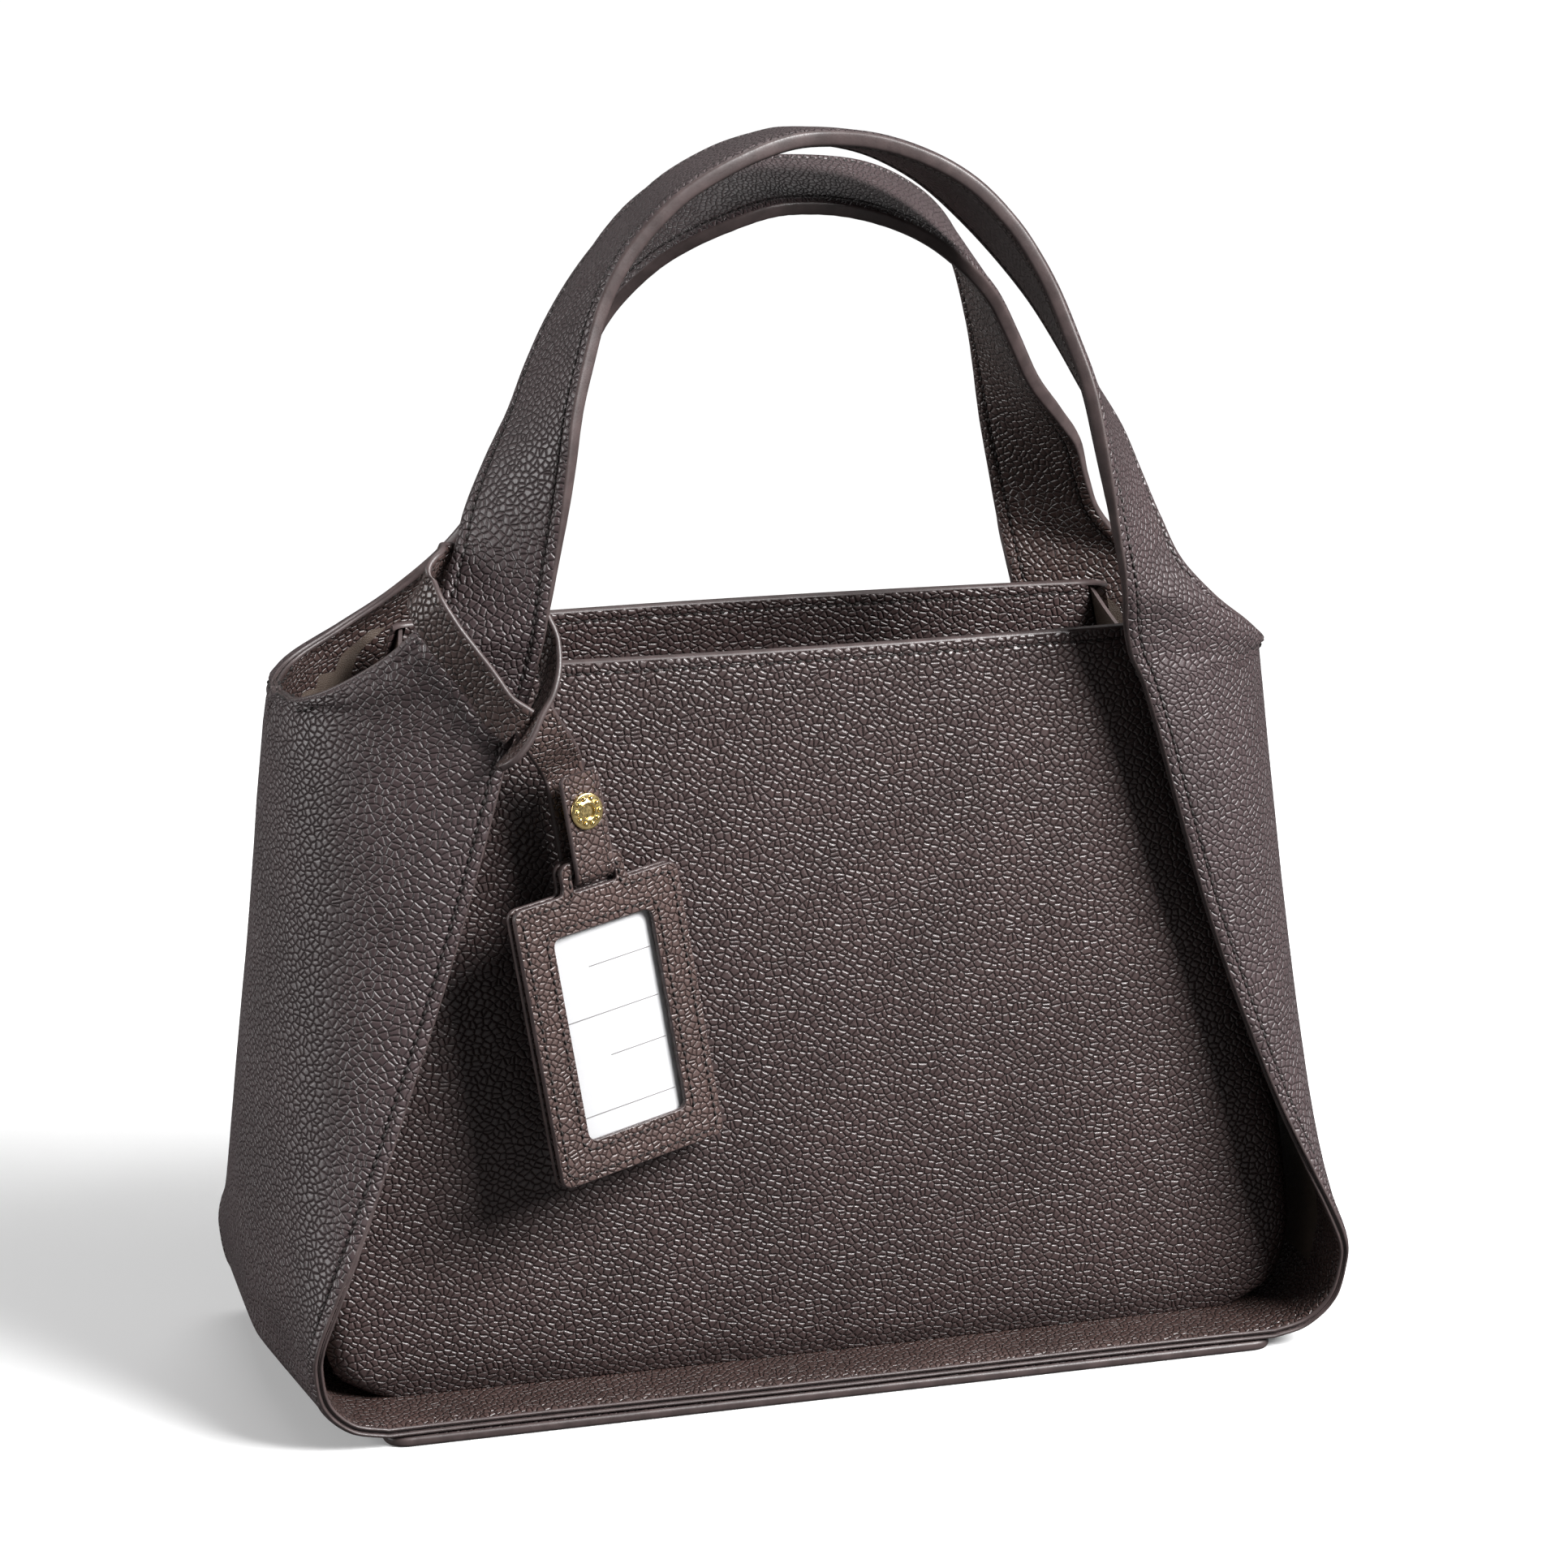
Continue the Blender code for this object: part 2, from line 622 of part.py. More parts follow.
def strap_loop(made):
    table = np.array([place_of_shares(place) for place, _ in LOOP_SHARES])
    leans = np.array([edge for _, edge in LOOP_SHARES])
    last = len(table) - 1
    stops = [step / STRAP_STEPS for step in range(last * STRAP_STEPS + 1)]
    centres = [Vector(between(table, stop)) for stop in stops]
    edges = [Vector(evenly_between(leans, stop)) for stop in stops]
    widths = [STRAP_WIDTH / 2] * len(centres)
    widths[0] *= LOOP_END_SHARE
    widths[-1] *= LOOP_END_SHARE
    return ribbon("strap_loop", centres, edges, widths, made, (0.0, 0.0, 0.0))


def tag_stack():
    return TAG_FRONT_PLY + FILM_THICKNESS + CARD_THICKNESS + 3 * FIT + TAG_BACK_PLY


def fold_radius():
    return (tag_stack() + STRAP_THICKNESS) / 2 + FOLD_SLACK


def tag_matrix():
    """The tag's place: its origin is the middle of the slot, X its width and Z its face."""
    turn = Matrix.Rotation(TAG_TURN, 3, "Z")
    lean = Matrix.Rotation(math.pi / 2 - TAG_LEAN, 3, "X")
    roll = Matrix.Rotation(TAG_ROLL, 3, "Z")
    matrix = (turn @ lean @ roll).to_4x4()
    matrix.translation = place_of_shares(TAG_PLACE_SHARES)
    return matrix


def strap_frame():
    """Down and out directions of the strap at the tag, and the middle of its fold."""
    matrix = tag_matrix()
    down = -matrix.col[1].to_3d()
    out = matrix.col[2].to_3d()
    return down, out, matrix.to_translation() - down * FOLD_ABOVE_SLOT


def strap_tail(made):
    """The tail hangs from the crossing, turns to the tag and ends under the fold."""
    down, out, middle = strap_frame()
    sideways = tag_matrix().col[0].to_3d()
    radius = fold_radius()
    top = place_of_shares(TAIL_TOP_SHARES)
    low = middle - out * radius
    bend = low - down * TAIL_STRAIGHT
    holds = (top, top + Vector(TAIL_LEAVES), bend - down * TAIL_HOLD, bend)
    line = []
    edges = []
    for step in range(TAIL_STEPS + 1):
        share = step / TAIL_STEPS
        weights = (
            (1 - share) ** 3,
            3 * share * (1 - share) ** 2,
            3 * share**2 * (1 - share),
            share**3,
        )
        line.append(sum((hold * weight for hold, weight in zip(holds, weights)), Vector()))
        edges.append(Vector(TAIL_TOP_EDGE).lerp(sideways, min(share / TAIL_TURN_SHARE, 1)))
    line.append(low)
    edges.append(sideways)
    for step in range(1, FOLD_STEPS + 1):
        angle = math.pi * step / FOLD_STEPS
        line.append(middle + down * radius * math.sin(angle) - out * radius * math.cos(angle))
        edges.append(sideways)
    widths = [STRAP_WIDTH / 2] * len(line)
    return ribbon("strap_tail", line, edges, widths, made, top)


def tongue_pivot():
    """Where the tongue bends away from the fold, on its front face."""
    _, out, middle = strap_frame()
    return middle + out * (fold_radius() + STRAP_THICKNESS / 2)


def snap_tongue(made):
    """The tongue rises in front of the tab from the end of the fold."""
    down, out, middle = strap_frame()
    foot = middle + out * fold_radius()
    line = [foot - down * TONGUE_LENGTH * share for share in TONGUE_STOP_SHARES]
    widths = [STRAP_WIDTH / 2] * len(line)
    widths[-1] *= TONGUE_END_SHARE
    edges = [tag_matrix().col[0].to_3d()] * len(line)
    return ribbon("snap_tongue", line, edges, widths, made, tongue_pivot())


def turned(name, profile, middle, axis, made, origin):
    """A solid turned from (radius, height) points that run from the axis back to it."""
    frame = axis.to_track_quat("Z", "Y").to_matrix()
    points = []
    faces = []
    rings = profile[1:-1]
    for radius, height in rings:
        for step in range(TURNED_STEPS):
            angle = math.tau * step / TURNED_STEPS
            local = Vector((radius * math.cos(angle), radius * math.sin(angle), height))
            points.append(middle + frame @ local)
    faces = grid_quads(len(rings), TURNED_STEPS, True)
    for end, start in ((profile[0], 0), (profile[-1], TURNED_STEPS * (len(rings) - 1))):
        points.append(middle + frame @ Vector((0.0, 0.0, end[1])))
        for step in range(TURNED_STEPS):
            after = (step + 1) % TURNED_STEPS
            faces.append((start + step, start + after, len(points) - 1))
    return mesh_object(name, points, faces, made, origin)


def snap_parts(gold):
    """Cap and socket on the tongue, stud and back plate on the tail."""
    down, out, fold = strap_frame()
    pivot = tongue_pivot()
    swing = place_of_shares(TAIL_TOP_SHARES)
    middle = fold - down * TONGUE_LENGTH * SNAP_HEIGHT_SHARE
    radius = fold_radius()
    half = STRAP_THICKNESS / 2
    front = middle + out * (radius + half + FIT)
    rise = SNAP_THICKNESS
    cap = (
        (0.0, 0.0),
        (SNAP_RADIUS, 0.0),
        (SNAP_RADIUS, rise * SNAP_RIM_SHARE),
        (SNAP_RADIUS * SNAP_CROWN_SHARE, rise),
        (SNAP_HOLE_RADIUS * SNAP_LIP_SHARE, rise),
        (SNAP_HOLE_RADIUS, rise * SNAP_RIM_SHARE),
        (0.0, rise * SNAP_RIM_SHARE),
    )
    turned("snap_cap", cap, front, out, gold, pivot)
    disc, plate_disc = (
        ((0.0, 0.0), (wide, 0.0), (wide, thick), (0.0, thick))
        for wide, thick in (
            (SOCKET_RADIUS, SOCKET_THICKNESS),
            (SNAP_RADIUS, BACK_THICKNESS),
        )
    )
    behind_tongue = middle + out * (radius - half - FIT)
    turned("snap_socket", disc, behind_tongue, -out, gold, pivot)
    before_tail = middle - out * (radius - half - FIT)
    turned("snap_stud", disc, before_tail, out, gold, swing)
    behind_tail = middle - out * (radius + half + FIT)
    turned("snap_back", plate_disc, behind_tail, -out, gold, swing)


def tag_outline():
    """The tag's rim with its tab, from the lower left corner, with the slot at the origin."""
    half = TAG_WIDTH / 2
    tab = TAB_WIDTH / 2
    top = -SLOT_ABOVE_BODY
    low = top - TAG_HEIGHT
    high = top + TAB_HEIGHT
    corners = [
        (-half, low),
        (half, low),
        (half, top),
        (tab, top),
        (tab, high),
        (-tab, high),
        (-tab, top),
        (-half, top),
    ]
    big = TAB_CORNER
    small = TAG_CORNER
    return rounded(corners, [small, small, small, small, big, big, small, small])


def moved(outline, x, y):
    return [(px + x, py + y) for px, py in outline]


def window_outline(lip):
    half_x = TAG_WIDTH / 2 - TAG_BORDER + lip
    half_y = TAG_HEIGHT / 2 - TAG_BORDER + lip
    middle = -SLOT_ABOVE_BODY - TAG_HEIGHT / 2
    return moved(box_outline(half_x, half_y, WINDOW_CORNER), 0.0, middle)


def tag(leather, film, paper):
    """Two leather plies with a clear film and a paper card held between them."""
    matrix = tag_matrix()
    slot = box_outline(SLOT_WIDTH / 2, SLOT_HEIGHT / 2, SLOT_HEIGHT / 3)
    stack = tag_stack()
    front = stack / 2 - TAG_FRONT_PLY / 2
    back = -stack / 2 + TAG_BACK_PLY / 2
    inside = stack / 2 - TAG_FRONT_PLY - FIT
    film_level = inside - FILM_THICKNESS / 2
    card_level = inside - FILM_THICKNESS - FIT - CARD_THICKNESS / 2

    def at(level):
        return matrix @ Matrix.Translation((0.0, 0.0, level))

    rim = tag_outline()
    window = window_outline(0.0)
    held = window_outline(WINDOW_LIP)
    pivot = bpy.data.objects.new("tag_pivot", None)
    pivot.location = place_of_shares(TAIL_TOP_SHARES)
    bpy.context.collection.objects.link(pivot)
    hung = [
        plate("tag_front", [rim, slot, window], TAG_FRONT_PLY, leather, at(front)),
        plate("tag_back", [rim, slot], TAG_BACK_PLY, leather, at(back)),
        plate("tag_film", [held], FILM_THICKNESS, film, at(film_level)),
        plate("tag_card", [held], CARD_THICKNESS, paper, at(card_level)),
    ]
    for thing in hung:
        thing.parent = pivot
        thing.matrix_parent_inverse = Matrix.Translation(-pivot.location)


def main():
    clear_scene()
    outer = material("leather_outer", (0.045, 0.032, 0.029), 0.5)
    inner = material("leather_inner", (0.052, 0.034, 0.029), 0.45)
    lining = material("lining", (0.075, 0.058, 0.042), 0.7)
    board = material("board", (0.05, 0.045, 0.04), 0.8)
    filler = material("filler", (0.06, 0.05, 0.045), 0.8)
    gold = material("gold", (0.83, 0.66, 0.32), 0.25, 1.0)
    film = material("film", (0.9, 0.9, 0.9), 0.08)
    paper = material("paper", (0.86, 0.85, 0.86), 0.7)

    for name, side in (("left", -1), ("right", 1)):
        wrap_side("wrap_outer_" + name, side, 0.0, outer)
        wrap_side("wrap_inner_" + name, side, PLY + FIT, inner)
    for name, arch, face in (
        ("front", FRONT_ARCH_SHARES, 1),
        ("back", BACK_ARCH_SHARES, -1),
    ):
        start = "handle_" + name
        handle_ply(start + "_outer", arch, face, 0.0, PLY, outer)
        handle_ply(start + "_core", arch, face, PLY + FIT, CORE, filler)
        handle_ply(start + "_inner", arch, face, PLY + CORE + 2 * FIT, PLY, inner)

    outline = box_outline(BASE_HALF_LENGTH, BASE_HALF_DEPTH, BASE_CORNER)
    plate_above("base_panel", outline, 0.0, BASE_THICKNESS, outer)
    inside = PLY + LINING_PLY + 3 * FIT
    board_half_depth = pouch_depth(0.0, 1.0) - inside
    board_half_length = pouch_side(0.0) - 2 * PLY - FACING_PLY - BOARD_END_GAP
    board_outline = box_outline(board_half_length, board_half_depth, BASE_CORNER)
    plate_above("base_board", board_outline, pouch_foot(), BOARD_THICKNESS, board)
    narrow = 2 * PLY + FACING_PLY + 2 * FIT
    facing_low = 1 - FACING_HEIGHT / (RIM_HEIGHT - pouch_foot())
    for name, face in (("front", 1), ("back", -1)):
        pouch_sheet(name + "_panel", face, 0.0, PLY, 0.0, 0.0, outer)
        pouch_sheet(name + "_lining", face, PLY + FIT, LINING_PLY, narrow, 0.0, lining)
        level = PLY + LINING_PLY + 2 * FIT
        pouch_sheet(name + "_facing", face, level, FACING_PLY, narrow, facing_low, inner)
    for name, side in (("left", -1), ("right", 1)):
        gusset("gusset_" + name, side, lining)

    strap_loop(outer)
    strap_tail(outer)
    snap_tongue(outer)
    snap_parts(gold)
    tag(outer, film, paper)


main()
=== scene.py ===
"""Looks of a small structured leather tote with two arched handles and a hanging tag.

Metres, +Z up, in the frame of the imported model: the front faces -Y and the bag stands on Z = 0.
Every leather sheet of the model is replaced here by a finer one with a grain, painted edges and
rows of stitches. Each sub-assembly is a class that holds its sizes and builds its own pieces.
"""

from __future__ import annotations

import logging
import math
from dataclasses import dataclass, field
from enum import Enum
from typing import Any, Callable, Optional, Sequence, Union

import bmesh
import bpy
import numpy as np
from mathutils import Matrix, Vector
from mathutils.bvhtree import BVHTree

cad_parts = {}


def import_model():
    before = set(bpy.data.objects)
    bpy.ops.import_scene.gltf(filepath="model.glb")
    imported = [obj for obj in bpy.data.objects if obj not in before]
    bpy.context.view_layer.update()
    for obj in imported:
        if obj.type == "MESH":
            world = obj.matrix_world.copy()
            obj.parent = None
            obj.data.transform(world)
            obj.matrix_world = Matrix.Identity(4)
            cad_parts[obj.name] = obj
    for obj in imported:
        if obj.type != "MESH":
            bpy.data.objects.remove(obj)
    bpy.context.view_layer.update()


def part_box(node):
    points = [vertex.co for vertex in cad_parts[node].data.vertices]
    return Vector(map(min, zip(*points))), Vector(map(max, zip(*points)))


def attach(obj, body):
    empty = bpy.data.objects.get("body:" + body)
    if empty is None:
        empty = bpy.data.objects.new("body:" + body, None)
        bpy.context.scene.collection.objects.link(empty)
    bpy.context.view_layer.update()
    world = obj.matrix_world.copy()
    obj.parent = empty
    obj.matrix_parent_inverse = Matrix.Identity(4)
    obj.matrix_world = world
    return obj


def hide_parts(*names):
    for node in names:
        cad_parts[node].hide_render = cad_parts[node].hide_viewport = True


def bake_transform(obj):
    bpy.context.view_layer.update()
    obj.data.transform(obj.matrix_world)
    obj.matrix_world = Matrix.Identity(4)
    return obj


LOG = logging.getLogger("tote")

Array = np.ndarray
Colour = tuple[float, float, float]
Socket = bpy.types.NodeSocket
Node = bpy.types.Node
Material = bpy.types.Material
Piece = bpy.types.Object
Value = Union[float, Socket, Sequence[float]]
Span = tuple[float, float]

# Ends that patterns are mapped to, and the part of a noise's values that is spread over them
RISING: Span = (0.0, 1.0)
FALLING: Span = (1.0, 0.0)
NOISE_MIDDLE: Span = (0.3, 0.7)

# Overall sizes
HALF_WIDTH = 0.1675
HALF_DEPTH = 0.0660
RISE = 0.3790
SIZE = np.array((HALF_WIDTH, HALF_DEPTH, RISE))

# Leather and other sheets
PLY = 0.0016
CORE = 0.0010
LINING_PLY = 0.0008
FACING_PLY = 0.0012
FIT = 0.0003

# Rows of the wrap from the middle of the bottom to the handle hinge. Each row has its
# window edge, its shoulder and its side end, each in ten-thousandths of HALF_WIDTH, HALF_DEPTH
# and RISE.
SHARE = 10000
SIDE_ROW_SHARES = (
    (0, 9700, 87, 0, 4850, 87, 0, 0, 87),
    (8420, 9700, 87, 8480, 4850, 87, 8540, 0, 87),
    (9100, 9770, 169, 9190, 4890, 170, 9280, 0, 172),
    (9610, 9920, 391, 9710, 4960, 397, 9810, 0, 404),
    (9780, 10080, 699, 9890, 5040, 710, 10000, 0, 720),
    (9740, 10250, 905, 10000, 6360, 976, 9970, 0, 1055),
    (9440, 10200, 1225, 9940, 6970, 1346, 9900, 0, 1478),
    (9050, 9920, 1569, 9870, 7580, 1728, 9810, 0, 1900),
    (8510, 9340, 2070, 9780, 8030, 2243, 9700, 0, 2427),
    (8030, 8830, 2596, 9670, 8180, 2770, 9610, 0, 2955),
    (7180, 8340, 3615, 9520, 8030, 3716, 9490, 0, 3826),
    (6460, 8130, 4650, 9400, 7580, 4697, 9430, 0, 4749),
    (5980, 7920, 5388, 9310, 7120, 5369, 9400, 0, 5356),
    (5760, 7850, 5666, 9250, 6890, 5666, 9400, 0, 5660),
    (5610, 7780, 5798, 9010, 6740, 5752, 9310, 1820, 5673),
    (5520, 7810, 5938, 8540, 6820, 5864, 8990, 3640, 5765),
    (5440, 7960, 6110, 7820, 7050, 6029, 8420, 5000, 5937),
    (5370, 8300, 6315, 7040, 7350, 6240, 7730, 5930, 6178),
    (5320, 8390, 6525, 6330, 7200, 6491, 7040, 5990, 6511),
    (5210, 8340, 6817, 5980, 6950, 6834, 6680, 5280, 6829),
    (5070, 8260, 7214, 5760, 6400, 7218, 6340, 4320, 7199),
)
SCOOP_ROW = 13
HINGE_ROW = 20
CROWN_ROW = 30
UPRIGHT_ROW = 14.5
UPRIGHT_ROWS = 2.0

# The same for the arches, from the hinge to the crown.
FRONT_ARCH_SHARES = (
    (4940, 8020, 7589, 5520, 5850, 7574, 5990, 3510, 7532),
    (4780, 7530, 8003, 5210, 5050, 7954, 5520, 2460, 7877),
    (4530, 6960, 8359, 4900, 4390, 8298, 5140, 1750, 8208),
    (4250, 6440, 8708, 4520, 3800, 8652, 4660, 1110, 8563),
    (3920, 6160, 8994, 4050, 3320, 8971, 4060, 470, 8911),
    (3550, 5900, 9244, 3520, 2940, 9260, 3390, -10, 9233),
    (2800, 5660, 9582, 2710, 2550, 9597, 2540, -550, 9562),
    (2060, 5430, 9780, 1920, 2320, 9796, 1730, -770, 9755),
    (1060, 4970, 9932, 980, 2090, 9926, 860, -770, 9859),
    (0, 4670, 9973, 0, 1940, 9962, 0, -770, 9886),
)
BACK_ARCH_SHARES = (
    (4950, 7950, 7599, 5450, 5780, 7551, 5840, 3470, 7472),
    (4780, 7420, 8006, 5060, 4890, 7904, 5200, 2310, 7773),
    (4540, 6840, 8356, 4700, 4380, 8268, 4730, 1910, 8153),
    (4250, 6320, 8707, 4310, 3850, 8620, 4240, 1410, 8501),
    (3910, 6010, 8984, 3850, 3430, 8885, 3690, 910, 8747),
    (3490, 5750, 9194, 3330, 2970, 9097, 3070, 280, 8952),
    (2770, 5440, 9402, 2590, 2470, 9292, 2340, -400, 9129),
    (2040, 4990, 9524, 1840, 1990, 9418, 1600, -930, 9253),
    (1050, 4410, 9592, 930, 1550, 9494, 800, -1220, 9335),
    (0, 4190, 9610, 0, 1410, 9514, 0, -1290, 9357),
)

# The leather has settled, so that the four quarters of the wrap differ. Each line has, for every
# row, the way to the right of the window edge and side end at the front left, of the same at the
# back left, and of the side ends at the front right and back right, in ten-thousandths of
# HALF_WIDTH. The side end of the back left leg comes forward too.
SETTLE_SHARES = (
    (0,) * 26
        + (60, 149, 239, 239, 0),
    (0,) * 2
        + (-60, -119, -90, -179, -299, -358, -388, -388, -328, -239, -149, -60, 0, 0, 0, 0)
        + (0, 0, 0, 72, 137, 149, 155, 179, 239, 328, 418, 388, 0),
    (0,) * 15
        + (90, 299, 507, 627, 716, 746, 806, 866, 985, 1104, 1164, 1134, 985, 746, 388, 0),
    (0,) * 2
        + (-60, -119, -90, -179, -299, -358, -388, -388, -328, -239, -149, -60, 0, 119, 448, 806)
        + (1075, 1254, 1254, 1164, 1075, 985, 896, 806, 687, 597, 478, 269, 0),
    (0,) * 9
        + (-30, -119, -269, -358, -388, -328, -239, -179, -239, -269, -209, -149, -60, 0, 0, 0)
        + (0, 0, 0, 0, 0, 0),
    (0,) * 9
        + (-30, -119, -269, -358, -388, -299, -179, -90, 0, 0, 0, 0, 0, 0, 0, 0)
        + (0, 0, 0, 0, 0, 0),
)
SETTLE_FORWARD_SHARE = 0.3

# Loop of the strap round the front left leg: each stop has its place, in ten-thousandths of
# HALF_WIDTH, HALF_DEPTH and RISE, and the direction of the strap's upper edge, in the same.
LOOP_SHARES = (
    (-5870, -8830, 5636, 5000, -3000, 8000),
    (-6200, -8610, 5765, 4800, -5400, 6900),
    (-6440, -8350, 5937, 4400, -6300, 6500),
    (-6790, -8140, 6153, 4600, -6100, 6500),
    (-7090, -7790, 6348, 4500, -6000, 6600),
    (-7300, -7230, 6528, 4100, -4700, 7800),
    (-7320, -6470, 6649, 4300, -2100, 8800),
    (-7050, -5790, 6776, 4500, 1000, 8900),
    (-6910, -4790, 6770, 4400, 1200, 8800),
    (-6510, -4330, 6734, 4200, 0, 8800),
    (-6030, -5090, 6675, 4200, -2000, 8500),
    (-5640, -6210, 6517, 4300, -3400, 7900),
    (-5370, -7000, 6306, 4000, -5000, 7500),
    (-5220, -7390, 6150, 3000, -7000, 6200),
    (-5210, -7910, 5987, 1500, -9000, 4000),
    (-5320, -8300, 5855, 500, -9600, 2500),
    (-5550, -8610, 5707, 500, -9600, 2500),
    (-5790, -8910, 5528, 500, -9600, 2500),
    (-6050, -9060, 5404, 500, -9600, 2500),
    (-6260, -9060, 5335, 500, -9600, 2500),
)


class Face(Enum):
    """The two broad faces of the bag, with the sign that each gives to depth."""

    FRONT = 1
    BACK = -1


class Side(Enum):
    """The two ends of the bag, with the sign that each gives to width."""

    RIGHT = 1
    LEFT = -1


# -------- shader building


@dataclass(frozen=True)
class Graph:
    """Short ways to add nodes to one material's tree. Sizes and depths are in metres."""

    tree: bpy.types.NodeTree

    def feed(self, socket: Socket, value: Value) -> None:
        """Links a socket to an input, or sets the input to a constant."""
        if isinstance(value, Socket):
            self.tree.links.new(value, socket)
        else:
            socket.default_value = value

    def node(self, kind: str, inputs: dict[Union[int, str], Value], **settings: Any) -> Node:
        """Adds a node.

        Args:
            kind: Blender's name for the node type.
            inputs: values of its inputs, by name or number.
            settings: properties to set on it.

        Returns:
            The new node.
        """
        made = self.tree.nodes.new(kind)
        for name, setting in settings.items():
            setattr(made, name, setting)
        for key, value in inputs.items():
            self.feed(made.inputs[key], value)
        return made

    def put(self, name: str, value: Value) -> None:
        """Feeds an input of the main shader."""
        self.feed(self.tree.nodes["Principled BSDF"].inputs[name], value)

    def show(self, shader: Socket) -> None:
        """Makes a shader the surface of the material or the world."""
        output = next(node for node in self.tree.nodes if node.type.startswith("OUTPUT"))
        self.feed(output.inputs["Surface"], shader)

    def place(self, kind: str) -> Socket:
        """The "UV" or "Object" coordinates of the surface."""
        return self.node("ShaderNodeTexCoord", {}).outputs[kind]

    def math(self, operation: str, *values: Value) -> Socket:
        """Works out a number."""
        inputs = dict(enumerate(values))
        return self.node("ShaderNodeMath", inputs, operation=operation).outputs[0]

    def vector(self, operation: str, first: Value, second: Value) -> Socket:
        """Works out a vector; SCALE takes a number as the second value."""
        inputs = {0: first, 3 if operation == "SCALE" else 1: second}
        return self.node("ShaderNodeVectorMath", inputs, operation=operation).outputs[0]

    def remap(
        self, value: Socket, low: float, high: float, to: Span = RISING, kind: str = "SMOOTHSTEP"
    ) -> Socket:
        """Maps a range onto another, held at both ends."""
        inputs = dict(enumerate((value, low, high, *to)))
        return self.node("ShaderNodeMapRange", inputs, interpolation_type=kind).outputs[0]

    def blend(self, share: Value, first: Value, second: Value) -> Socket:
        """Mixes two colours."""
        inputs = {0: share, 6: first, 7: second}
        return self.node("ShaderNodeMix", inputs, data_type="RGBA").outputs[2]

    def mixed(self, share: Value, first: Socket, second: Socket) -> Socket:
        """Mixes two shaders."""
        return self.node("ShaderNodeMixShader", {0: share, 1: first, 2: second}).outputs[0]

    def noise(self, place: Socket, size: float, detail: float = 2.0) -> Node:
        """Adds a noise whose features are about `size` wide."""
        inputs = {"Vector": place, "Scale": 1 / size, "Detail": detail}
        return self.node("ShaderNodeTexNoise", inputs)

    def creases(self, place: Socket, size: float, irregular: float) -> Socket:
        """Distance to the nearest border of cells about `size` wide, in cells."""
        inputs = {"Vector": place, "Scale": 1 / size, "Randomness": irregular}
        settings = {"voronoi_dimensions": "2D", "feature": "DISTANCE_TO_EDGE"}
        return self.node("ShaderNodeTexVoronoi", inputs, **settings).outputs["Distance"]

    def bump(self, height: Socket, depth: float) -> Socket:
        """Adds a bump and returns its normal."""
        inputs = {"Strength": 1.0, "Distance": depth, "Height": height}
        return self.node("ShaderNodeBump", inputs).outputs[0]


def rgba(colour: Colour) -> tuple[float, float, float, float]:
    """A colour with full opacity."""
    return (*colour, 1.0)


@dataclass(frozen=True)
class Finish:
    """A surface: its name, its colour and how rough it is."""

    name: str
    colour: Colour
    roughness: float

    def make(self) -> Material:
        """Builds the material.

        Returns:
            The finished material.
        """
        material = bpy.data.materials.new(self.name)
        material.use_nodes = True
        graph = Graph(material.node_tree)
        graph.put("Base Color", rgba(self.colour))
        graph.put("Roughness", self.roughness)
        self.dress(graph)
        return material

    def dress(self, graph: Graph) -> None:
        """Adds what makes this finish more than one even colour."""

    def shades(self, graph: Graph, share: Value, ends: Span) -> Socket:
        """Goes from one shade of the finish's own colour to another."""
        first, last = (rgba(tuple(shade * part for part in self.colour)) for shade in ends)
        return graph.blend(share, first, last)

    def rough_round(self, graph: Graph, pattern: Socket, ends: Span, low: float = 0.3) -> Socket:
        """Varies the finish's own roughness with a noise, by what is given in `ends`."""
        return graph.remap(pattern, low, 1 - low, tuple(self.roughness + end for end in ends))


